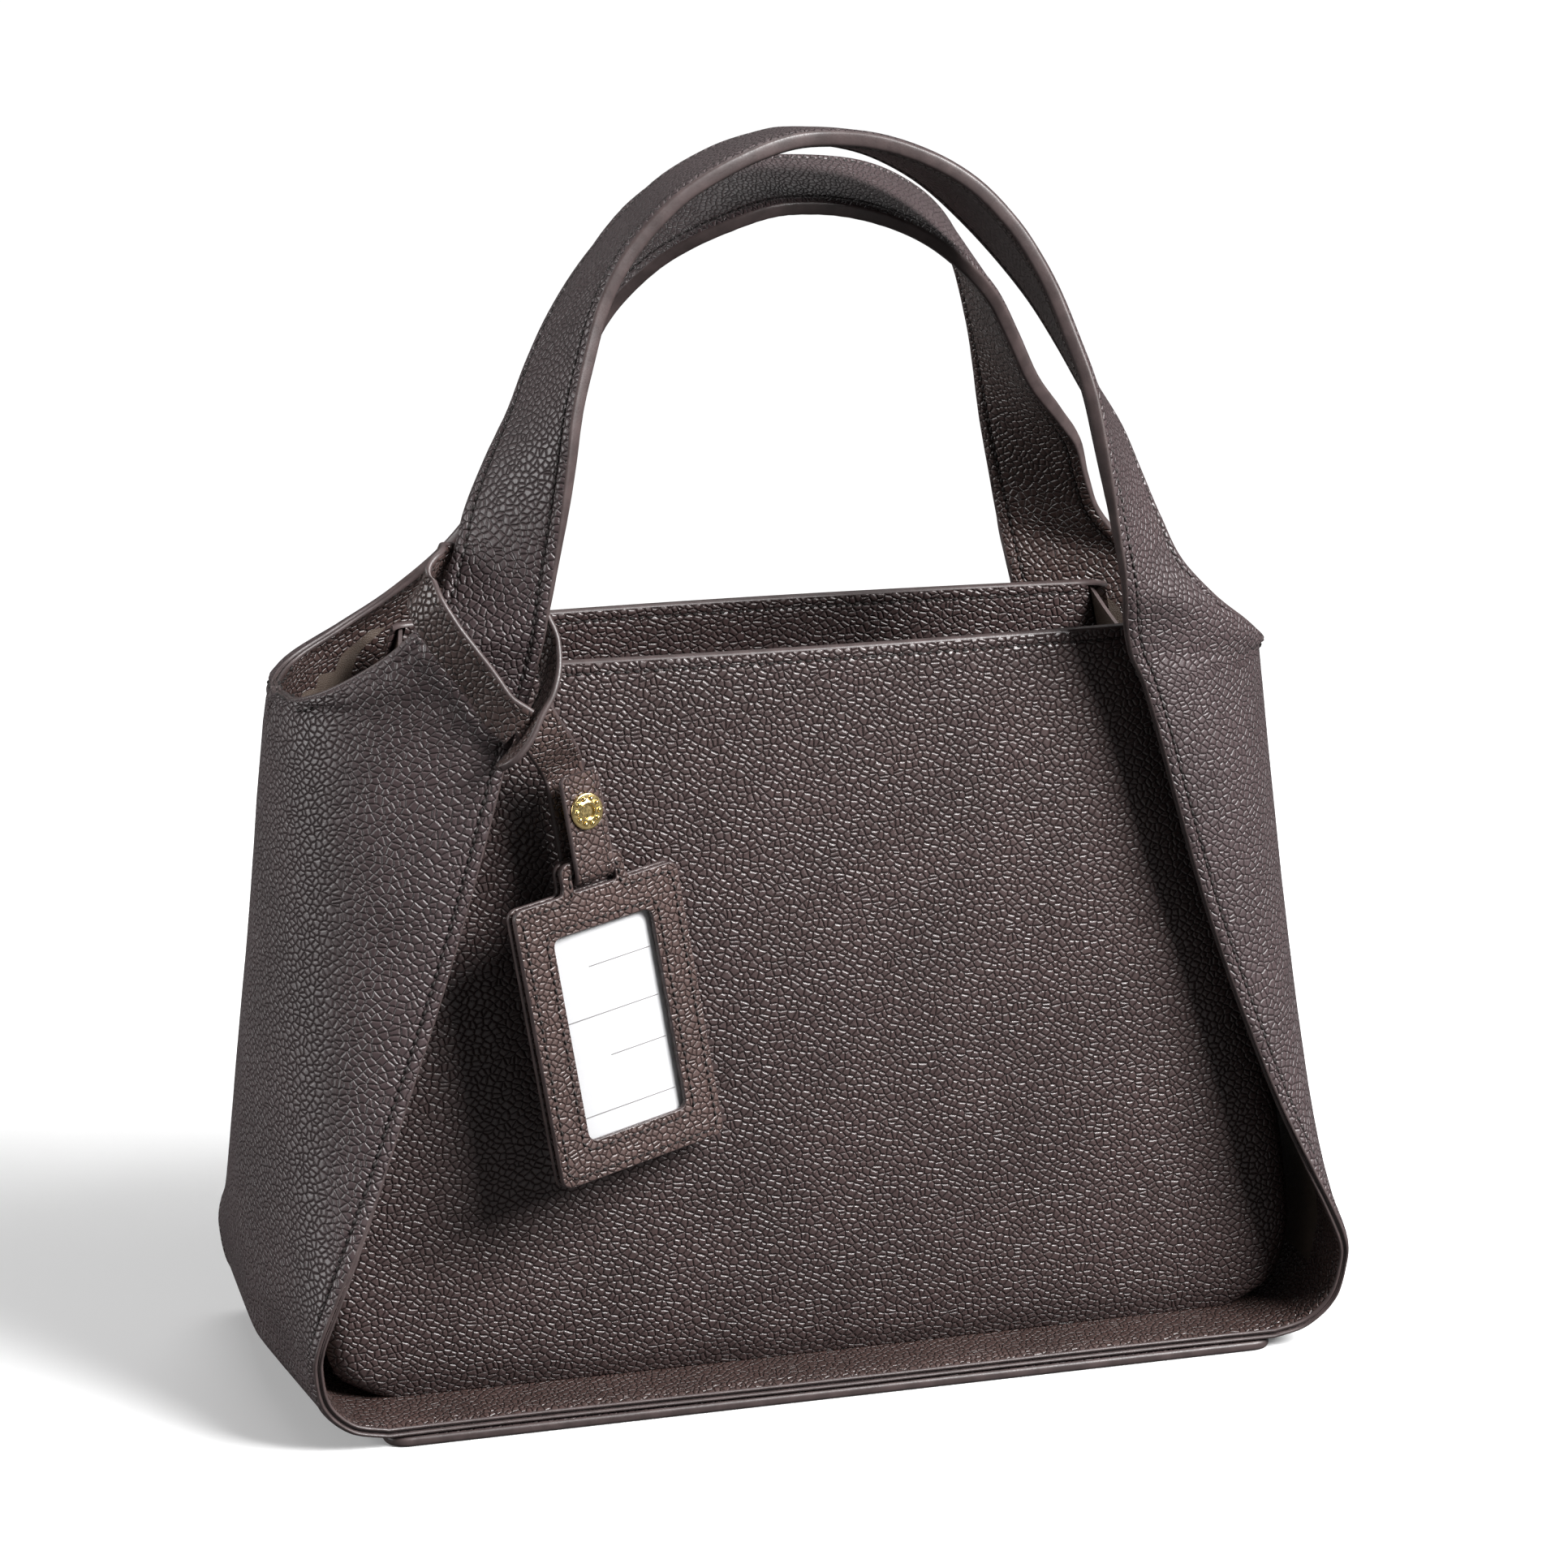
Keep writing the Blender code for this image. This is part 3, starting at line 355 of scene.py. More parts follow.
@dataclass(frozen=True)
class GrainLeather(Finish):
    """Pebbled leather: rounded cells between creases that carry a painted shade, with fine pores.

    Sizes and distances other than the cell and the relief are in cells, heights in reliefs.
    """

    # Painted shade: a dark colour laid into the creases for the shade that falls in them.
    painted_crease_shade: Colour = (0.0120, 0.0080, 0.0074)
    cell: float = 0.0021
    relief: float = 0.00048
    gloss: float = 0.75
    stretch: tuple[float, float, float] = (0.94, 1.10, 1.0)
    turn: float = 0.6
    irregular: float = 0.80
    drift_size: float = 2.4
    drift_reach: float = 0.7
    crease_half: float = 0.36
    crease_power: float = 2.6
    fine_size: float = 0.47
    fine_half: float = 0.16
    fine_where: Span = (0.15, 0.85)
    fine_height: float = 0.12
    pore_size: float = 0.12
    pore_height: float = 0.03
    pore_rough: float = 0.05
    soft_size: float = 0.42
    soft_height: float = 0.10
    patch_size: float = 14
    patch_shades: Span = (0.88, 1.10)
    # Painted shade: distances from a crease, in cells, over which the creases' painted shade fades
    # out.
    border_painted_shade: Span = (-0.05, 0.11)
    border_dull: Span = (-0.05, 0.12)
    border_gloss: float = 0.10
    border_rough: float = 0.20

    def dress(self, graph: Graph) -> None:
        """Adds the pebbles, their colours with a painted shade in the creases, and their gloss.

        Args:
            graph: the material's nodes.
        """
        cell = self.cell
        flat = graph.place("UV")
        drift = graph.noise(flat, cell * self.drift_size, 1.0).outputs["Color"]
        shift = graph.vector("SUBTRACT", drift, (0.5, 0.5, 0.5))
        moved = graph.vector("ADD", flat, graph.vector("SCALE", shift, cell * self.drift_reach))
        inputs = {"Vector": graph.vector("MULTIPLY", moved, self.stretch), "Angle": self.turn}
        turned = graph.node("ShaderNodeVectorRotate", inputs, rotation_type="Z_AXIS")
        place = turned.outputs["Vector"]
        border = graph.creases(place, cell, self.irregular)
        fall = graph.remap(border, 0.0, self.crease_half, FALLING, "LINEAR")
        dome = graph.math("SUBTRACT", 1.0, graph.math("POWER", fall, self.crease_power))
        small = graph.creases(place, cell * self.fine_size, 1.0)
        fine = graph.remap(small, 0.0, self.fine_half, FALLING)
        share = graph.remap(fall, *self.fine_where, (0.0, self.fine_height))
        near = graph.math("MULTIPLY", fine, share)
        pores = graph.noise(flat, cell * self.pore_size, 3.0).outputs["Fac"]
        soft = graph.noise(flat, cell * self.soft_size, 1.0).outputs["Fac"]
        pitted = graph.math("MULTIPLY", pores, self.pore_height)
        grain = graph.math("ADD", pitted, graph.math("MULTIPLY", soft, self.soft_height))
        height = graph.math("SUBTRACT", graph.math("ADD", dome, grain), near)
        graph.put("Normal", graph.bump(height, self.relief))
        wide = graph.noise(flat, cell * self.patch_size, 3.0).outputs["Fac"]
        top = self.shades(graph, graph.remap(wide, *NOISE_MIDDLE), self.patch_shades)
        # Painted shade: the colour turns to the dark crease colour near each crease, for the shade
        # that falls there.
        crease_shade_share = graph.remap(border, *self.border_painted_shade)
        graph.put("Base Color", graph.blend(crease_shade_share, rgba(self.painted_crease_shade), top))
        dull = graph.remap(border, 0.0, self.border_dull[1], (self.border_rough, 0.0))
        ends = (-self.pore_rough, self.pore_rough)
        rough = graph.math("ADD", dull, self.rough_round(graph, pores, ends))
        graph.put("Roughness", rough)
        glossy = (self.border_gloss * self.gloss, self.gloss)
        sheen = graph.remap(border, *self.border_dull, glossy)
        graph.put("Specular IOR Level", sheen)


@dataclass(frozen=True)
class FineLeather(Finish):
    """Nearly smooth leather with a fine even grain, as used for linings and boards."""

    grain: float = 0.0007
    relief: float = 0.00007
    pore_half: float = 0.25
    soft_size: float = 12
    soft_height: float = 1.5
    shade_ends: Span = (0.82, 1.15)
    rough_ends: Span = (-0.06, 0.06)

    def dress(self, graph: Graph) -> None:
        """Adds the fine grain and soft patches of colour.

        Args:
            graph: the material's nodes.
        """
        flat = graph.place("UV")
        pores = graph.remap(graph.creases(flat, self.grain, 1.0), 0.0, self.pore_half)
        soft = graph.noise(flat, self.grain * self.soft_size, 4.0).outputs["Fac"]
        height = graph.math("ADD", pores, graph.math("MULTIPLY", soft, self.soft_height))
        graph.put("Normal", graph.bump(height, self.relief))
        tone = graph.remap(soft, *NOISE_MIDDLE)
        graph.put("Base Color", self.shades(graph, tone, self.shade_ends))
        graph.put("Roughness", self.rough_round(graph, soft, self.rough_ends))


@dataclass(frozen=True)
class EdgePaint(Finish):
    """Satin paint on a cut edge, with faint waves along it and rubbed spots."""

    wave: float = 0.006
    relief: float = 0.00012
    specks_in_wave: float = 14
    speck_height: float = 0.10
    wave_middle: Span = (0.35, 0.7)
    speck_low: float = 0.35
    shade_ends: Span = (0.80, 1.18)
    rough_ends: Span = (-0.06, 0.08)

    def dress(self, graph: Graph) -> None:
        """Adds the waves and the rubbed spots.

        Args:
            graph: the material's nodes.
        """
        place = graph.place("UV")
        waves = graph.noise(place, self.wave, 3.0).outputs["Fac"]
        specks = graph.noise(place, self.wave / self.specks_in_wave, 2.0).outputs["Fac"]
        height = graph.math("ADD", waves, graph.math("MULTIPLY", specks, self.speck_height))
        graph.put("Normal", graph.bump(height, self.relief))
        tone = graph.remap(waves, *self.wave_middle)
        graph.put("Base Color", self.shades(graph, tone, self.shade_ends))
        rough = self.rough_round(graph, specks, self.rough_ends, self.speck_low)
        graph.put("Roughness", rough)


@dataclass(frozen=True)
class Patterned(Finish):
    """A surface with one fine pattern, which shapes and tints it."""

    size: float = 0.0009
    detail: float = 4.0
    relief: float = 0.00002
    tint_within: Span = NOISE_MIDDLE
    shade_ends: Span = (0.97, 1.0)
    rough_ends: Optional[Span] = None
    metallic: float = 0.0

    def dress(self, graph: Graph) -> None:
        """Adds the pattern.

        Args:
            graph: the material's nodes.
        """
        pattern = graph.noise(graph.place("Object"), self.size, self.detail).outputs["Fac"]
        graph.put("Metallic", self.metallic)
        graph.put("Normal", graph.bump(pattern, self.relief))
        tone = graph.remap(pattern, *self.tint_within)
        graph.put("Base Color", self.shades(graph, tone, self.shade_ends))
        if self.rough_ends:
            graph.put("Roughness", self.rough_round(graph, pattern, self.rough_ends))


@dataclass(frozen=True)
class Paper(Patterned):
    """Uncoated card stock with a faint fibre pattern, or ink on it."""


@dataclass(frozen=True)
class Thread(Patterned):
    """Waxed sewing thread with a fine twist along each stitch."""

    size: float = 0.0006
    detail: float = 2.0
    relief: float = 0.0001
    shade_ends: Span = (0.7, 1.0)


@dataclass(frozen=True)
class Metal(Patterned):
    """Polished plated metal with faint wear."""

    size: float = 0.0012
    relief: float = 0.00001
    tint_within: Span = (0.3, 0.8)
    shade_ends: Span = (1.0, 0.9)
    rough_ends: Optional[Span] = (-0.06, 0.1)
    metallic: float = 1.0


@dataclass(frozen=True)
class ClearFilm(Finish):
    """Thin clear film: what is behind it shows, with a faint sheen on top."""

    sheen: float = 0.5
    index: float = 1.3
    ripple: float = 0.012
    ripple_depth: float = 0.0002
    gloss_ends: Span = (0.04, 0.12)

    def dress(self, graph: Graph) -> None:
        """Puts a clear shader with a sheen in the place of the main shader.

        Args:
            graph: the material's nodes.
        """
        clear = graph.node("ShaderNodeBsdfTransparent", {"Color": rgba(self.colour)})
        ripple = graph.noise(graph.place("Object"), self.ripple).outputs["Fac"]
        rough = graph.remap(ripple, *NOISE_MIDDLE, self.gloss_ends)
        normal = graph.bump(ripple, self.ripple_depth)
        gloss = graph.node("ShaderNodeBsdfGlossy", {"Roughness": rough, "Normal": normal})
        edge = graph.node("ShaderNodeFresnel", {"IOR": self.index})
        share = graph.math("MULTIPLY", edge.outputs[0], self.sheen)
        film = graph.mixed(share, clear.outputs[0], gloss.outputs[0])
        graph.show(film)


def kept(finish: Finish) -> Any:
    """A field whose material is made when the palette is."""
    return field(default_factory=finish.make)


@dataclass
class Palette:
    """The materials of the bag, each made once."""

    outer: Material = kept(
        GrainLeather("grain_wrap", (0.051, 0.0330, 0.0345), 0.44, relief=0.00040, gloss=0.72)
    )
    panel: Material = kept(GrainLeather("grain_panel", (0.050, 0.0305, 0.0295), 0.37, gloss=0.80))
    inner: Material = kept(GrainLeather("grain_inside", (0.050, 0.0280, 0.0245), 0.38, gloss=0.80))
    tag: Material = kept(GrainLeather("grain_tag", (0.078, 0.0480, 0.0430), 0.35, cell=0.0020))
    lining: Material = kept(FineLeather("lining_leather", (0.086, 0.062, 0.048), 0.55))
    board: Material = kept(FineLeather("board_cover", (0.075, 0.066, 0.060), 0.7))
    paint: Material = kept(EdgePaint("edge_paint", (0.062, 0.044, 0.043), 0.42))
    thread: Material = kept(Thread("sewing_thread", (0.016, 0.011, 0.010), 0.7))
    gold: Material = kept(Metal("plated_gold", (0.86, 0.66, 0.30), 0.22))
    paper: Material = kept(Paper("card_paper", (0.66, 0.66, 0.67), 0.7))
    film: Material = kept(ClearFilm("clear_film", (0.99, 0.99, 0.99), 0.08))
    ink: Material = kept(Paper("card_ink", (0.18, 0.17, 0.17), 0.6))


# -------- mesh building


@dataclass
class MeshBuilder:
    """Gathers grids of points into one mesh whose touching borders are then merged."""

    merge: float = 2e-6
    sharp: float = math.radians(50)
    points: list[Array] = field(default_factory=list)
    faces: list[Array] = field(default_factory=list)
    flats: list[Array] = field(default_factory=list)
    slots: list[Array] = field(default_factory=list)
    count: int = 0

    def add(self, points: Array, faces: Array, flat: Array, slot: Union[int, Array] = 0) -> None:
        """Adds points and quads.

        Args:
            points: places, one per row.
            faces: numbers of four points per row.
            flat: the two texture coordinates of each point, in metres.
            slot: material slot of all the faces, or of each.
        """
        self.points.append(points)
        self.faces.append(faces + self.count)
        self.flats.append(flat)
        self.slots.append(np.broadcast_to(np.asarray(slot), len(faces)))
        self.count += len(points)

    def grid(
        self, points: Array, flat: Array, slot: Union[int, Array] = 0, closed: bool = False
    ) -> None:
        """Adds a grid of quads.

        Args:
            points: (rows, columns, 3) places.
            flat: texture coordinates of each.
            slot: material slot of all the faces, or of each.
            closed: whether the last column joins the first.
        """
        rows, columns = points.shape[:2]
        if closed:
            points = np.concatenate((points, points[:, :1]), 1)
            flat = np.concatenate((flat, flat[:, -1:] + (flat[:, -1:] - flat[:, -2:-1])), 1)
            columns += 1
        number = np.arange(rows * columns).reshape(rows, columns)
        quads = np.stack((number[:-1, :-1], number[:-1, 1:], number[1:, 1:], number[1:, :-1]), -1)
        self.add(points.reshape(-1, 3), quads.reshape(-1, 4), flat.reshape(-1, 2), slot)

    def slab(
        self, top: Array, low: Array, flat: Array, slots: tuple[Any, Any, int], ends: bool = True
    ) -> None:
        """Adds a closed sheet between two grids.

        Args:
            top: (rows, columns, 3) points of one skin.
            low: the same of the other skin.
            flat: texture coordinates of both.
            slots: material slots of the top skin, the low skin and the four edges.
            ends: whether its first and last rows have edges; they touch where it has none.
        """
        self.grid(top, flat, slots[0])
        self.grid(low, flat, slots[1])
        for line in (np.s_[:, 0], np.s_[:, -1], *((np.s_[0, :], np.s_[-1, :]) if ends else ())):
            edge = np.stack((top[line], low[line]))
            self.grid(edge, np.stack((flat[line], flat[line])), slots[2])

    def build(self, name: str, materials: Sequence[Material]) -> Piece:
        """Makes the object.

        Args:
            name: its name.
            materials: its material slots.

        Returns:
            The object, linked to the scene.
        """
        mesh = bpy.data.meshes.new(name)
        faces = np.concatenate(self.faces)
        mesh.from_pydata(np.concatenate(self.points), [], faces.tolist())
        layer = mesh.uv_layers.new(name="UVMap")
        corners = np.concatenate(self.flats)[faces.reshape(-1)]
        layer.data.foreach_set("uv", corners.astype(np.float32).reshape(-1))
        mesh.polygons.foreach_set("material_index", np.concatenate(self.slots).astype(np.int32))
        work = bmesh.new()
        work.from_mesh(mesh)
        bmesh.ops.remove_doubles(work, verts=work.verts, dist=self.merge)
        bmesh.ops.dissolve_degenerate(work, edges=work.edges, dist=self.merge / 10)
        bmesh.ops.recalc_face_normals(work, faces=work.faces)
        work.to_mesh(mesh)
        work.free()
        mesh.shade_smooth()
        mesh.set_sharp_from_angle(angle=self.sharp)
        for material in materials:
            mesh.materials.append(material)
        made = bpy.data.objects.new(name, mesh)
        bpy.context.scene.collection.objects.link(made)
        return made


def unit(vectors: Array) -> Array:
    """Vectors scaled to a length of one."""
    return vectors / np.maximum(np.linalg.norm(vectors, axis=-1, keepdims=True), 1e-12)


def eased(share: Any) -> Any:
    """A share from 0 to 1 that starts and ends gently."""
    held = np.clip(share, 0.0, 1.0)
    return held * held * (3 - 2 * held)


def lengths(line: Array) -> Array:
    """Distance along a line of points from its first one, at each of them."""
    steps = np.linalg.norm(np.diff(line, axis=0), axis=-1)
    return np.concatenate(([0.0], np.cumsum(steps)))


def tangents(line: Array) -> Array:
    """Direction of a line of points at each of them."""
    return unit(np.gradient(line, axis=0))


def smoothed(line: Array, times: int) -> Array:
    """A line of values with its corners eased a number of times; its ends stay."""
    for _ in range(times):
        line = line.copy()
        line[1:-1] = (line[:-2] + 2 * line[1:-1] + line[2:]) / 4
    return line


def slope(before: Array, here: Array, after: Array) -> Array:
    """Direction of a smooth curve at the middle one of three rows.

    Args:
        before: the row before it.
        here: the row itself.
        after: the row after it.

    Returns:
        The direction, per unit of the curve's length.
    """
    low = np.linalg.norm(here - before)
    high = np.linalg.norm(after - here)
    if low == 0:
        return (after - here) / high
    if high == 0:
        return (here - before) / low
    return ((here - before) * high / low + (after - here) * low / high) / (low + high)


def between(table: Array, place: float) -> Array:
    """A smooth curve through the rows of a table, read at a fractional row.

    Args:
        table: the rows.
        place: the row to read, which may lie between two.

    Returns:
        The row there.
    """
    last = len(table) - 1
    start = min(max(int(math.floor(place)), 0), last - 1)
    share = place - start
    before, here, after, past = (
        table[min(max(start + step, 0), last)] for step in (-1, 0, 1, 2)
    )
    length = np.linalg.norm(after - here)
    cube = share**3
    square = share**2
    return (
        here * (2 * cube - 3 * square + 1)
        + slope(before, here, after) * length * (cube - 2 * square + share)
        + after * (3 * square - 2 * cube)
        + slope(here, after, past) * length * (cube - square)
    )


def resample(line: Array, step: float) -> Array:
    """Evenly spaced points on a line.

    Args:
        line: (count, n) values whose first three are places.
        step: wanted distance between the points.

    Returns:
        The values there.
    """
    along = lengths(line[:, :3])
    count = max(int(round(along[-1] / step)), 1)
    wanted = (np.arange(count) + 0.5) * along[-1] / count
    columns = [np.interp(wanted, along, line[:, index]) for index in range(line.shape[1])]
    return np.stack(columns, -1)


def declare(piece: Piece, body: str, nodes: Sequence[str] = ()) -> Piece:
    """Tells the frame what a piece is.

    Args:
        piece: the piece.
        body: the body it rides on.
        nodes: the nodes that it replaces.

    Returns:
        The piece.
    """
    if nodes:
        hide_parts(*nodes)
    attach(piece, body)
    return piece


# -------- seams and painted edges


@dataclass(frozen=True)
class Press:
    """A soft hollow that runs along an edge, or a swelling where its depth is below zero."""

    depth: float
    middle: float
    half: float

    def at(self, away: Array) -> Array:
        """Its depth at each distance from the edge."""
        return self.depth * np.exp(-(((away - self.middle) / self.half) ** 2))


@dataclass
class Seam:
    """A row of stitches on a surface."""

    pitch: float = 0.0029
    stitch: float = 0.0022
    radius: float = 0.00044
    sink: float = 0.00012
    rings: int = 5
    sides: int = 6
    swell: float = 0.9
    tip_power: float = 3
    tip_width: float = 0.02

    def stitches(self, builder: MeshBuilder, line: Array, normals: Array) -> None:
        """Adds one stitch after the other along a line.

        Args:
            builder: where the stitches go.
            line: (count, 3) places on the surface.
            normals: the surface's direction at each of them.
        """
        spots = resample(np.concatenate((line, normals), 1), self.pitch)
        middle = spots[:, :3]
        if len(middle) < 2:
            return
        up = unit(spots[:, 3:])
        along = tangents(middle)
        across = unit(np.cross(up, along))
        up = np.cross(along, across)
        ring = np.linspace(-1, 1, self.rings)
        turn = np.linspace(0, math.tau, self.sides, endpoint=False)
        rise = self.radius * (1 - ring**2) * self.swell - self.sink
        narrowed = np.maximum(1 - np.abs(ring) ** self.tip_power, self.tip_width)
        wide = self.radius * np.sqrt(narrowed)
        centre = (
            middle[:, None]
            + along[:, None] * (ring * self.stitch / 2)[None, :, None]
            + up[:, None] * rise[None, :, None]
        )
        round_them = (
            across[:, None, None] * np.cos(turn)[None, None, :, None]
            + up[:, None, None] * np.sin(turn)[None, None, :, None]
        )
        points = centre[:, :, None] + round_them * wide[None, :, None, None]
        flat = np.zeros((*points.shape[:3], 2))
        flat[..., 0] = (turn / math.tau)[None, None] * self.radius
        flat[..., 1] = (ring * self.stitch)[None, :, None]
        for one, its_flat in zip(points, flat):
            builder.grid(one, its_flat, closed=True)
            for end in (0, -1):
                self.cap(builder, one[end], its_flat[end])

    def cap(self, builder: MeshBuilder, ring: Array, flat: Array) -> None:
        """Closes the end of a stitch with quads."""
        order = np.array([[0, 1, 2, 3], [0, 3, 4, 5]])
        builder.add(ring, order, flat)

    def on_surface(
        self, builder: MeshBuilder, tree: BVHTree, rim: Array, inward: Array, distance: float
    ) -> None:
        """Adds stitches at a distance from a rim, laid on the surface of a mesh.

        Args:
            builder: where the stitches go.
            tree: the surface.
            rim: (count, 3) places along the rim.
            inward: direction from each into the sheet.
            distance: how far in the seam runs.
        """
        found = [tree.find_nearest(Vector(spot)) for spot in rim + inward * distance]
        places = np.array([spot for spot, _, _, _ in found])
        normals = np.array([normal for _, normal, _, _ in found])
        self.stitches(builder, places, normals)


@dataclass
class Bead:
    """A painted edge: a rounded strip that covers the cut of one or more plies."""

    bulge: float = 0.0007
    steps: int = 10
    inset: float = 0.0004
    power: float = 2.4
    cut_half: float = 0.14

    def add(
        self,
        builder: MeshBuilder,
        first: Array,
        last: Array,
        out: Array,
        groove: Union[float, Array] = 0.0,
        caps: bool = True,
    ) -> None:
        """Adds the strip between two rims.

        Args:
            builder: where the strip goes.
            first: (count, 3) rim of one skin.
            last: rim of the other skin.
            out: direction from each point out of the sheet.
            groove: depth of the dark line between two plies.
            caps: whether its ends are closed; they touch where they aren't.
        """
        share = np.linspace(0, 1, self.steps + 1)
        dome = (1 - np.abs(2 * share - 1) ** self.power) ** (1 / self.power) * self.bulge
        deep = np.asarray(groove) * np.ones(len(first))
        cut = np.exp(-(((share - 0.5) / self.cut_half) ** 2))
        outward = dome[None] - deep[:, None] * cut[None]
        span = last - first
        points = first[:, None] + span[:, None] * share[None, :, None]
        points = points + out[:, None] * outward[..., None]
        back = np.stack((last - out * self.inset, first - out * self.inset), 1)
        points = np.concatenate((points, back), 1)
        along = lengths(first)
        around = np.linspace(0, float(np.linalg.norm(span, axis=-1).max()), points.shape[1])
        flat = np.stack(np.meshgrid(around, along), -1)
        builder.grid(points, flat, closed=True)
        for end in (0, -1) if caps else ():
            ring = points[end]
            low = np.arange(len(ring) // 2 - 1)
            high = len(ring) - 1 - low
            builder.add(ring, np.stack((low, low + 1, high - 1, high), -1), flat[end])


# -------- the wrap and its handles


@dataclass
class WrapShape:
    """Outer face of the wrap and one arch in the front right quarter, as rows of three points."""

    arch: tuple
    step: float = 1 / 64
    soft: float = 0.009
    straightens: float = 1.5
    rows: Array = field(init=False)

    def __post_init__(self) -> None:
        """Joins the rows of the side and the arch, and mirrors the last two past the crown."""
        rows = np.array(SIDE_ROW_SHARES + self.arch).reshape(-1, 3, 3) / SHARE * SIZE
        past = rows[-2:-4:-1] * np.array((-1.0, 1.0, 1.0))
        self.rows = np.concatenate((rows, past))

    def section(self, place: float, shares: Array) -> Array:
        """Points of one row. The span under the bag is held flat.

        Args:
            place: the row, which may lie between two of the table.
            shares: 0 for its window edge and 1 for its side end.

        Returns:
            (count, 3) points.
        """
        window, shoulder, side = between(self.rows, place)
        share = shares[:, None]
        points = window * (1 - share) ** 2 + shoulder * 2 * share * (1 - share) + side * share**2
        if place < 1:
            points[:, 2] = self.rows[0, 0, 2]
        bend = 1 - eased((place - SCOOP_ROW) * self.straightens)
        if bend > 0:
            lean = (side[0] - shoulder[0]) / (side[1] - shoulder[1])
            depth = np.abs(points[:, 1])
            points[:, 0] += lean * bend * (np.sqrt(depth**2 + self.soft**2) - depth)
        return points

    def normals(self, place: float, shares: Array) -> Array:
        """Outward directions of one row.

        Args:
            place: the row.
            shares: as for its points.

        Returns:
            (count, 3) directions.
        """
        held = np.clip(shares, self.step, 1 - self.step)
        above, below = (self.section(place + way, held) for way in (self.step, -self.step))
        along = unit(above - below)
        away = abs(place - UPRIGHT_ROW) / UPRIGHT_ROWS
        along = along + (np.array((0.0, 0.0, 1.0)) - along) * min(max(2 - away, 0), 1)
        across = self.section(place, held + self.step) - self.section(place, held - self.step)
        normal = np.cross(along, across)
        if place <= SCOOP_ROW:
            normal[shares >= 1, 1] = 0
        return unit(normal)


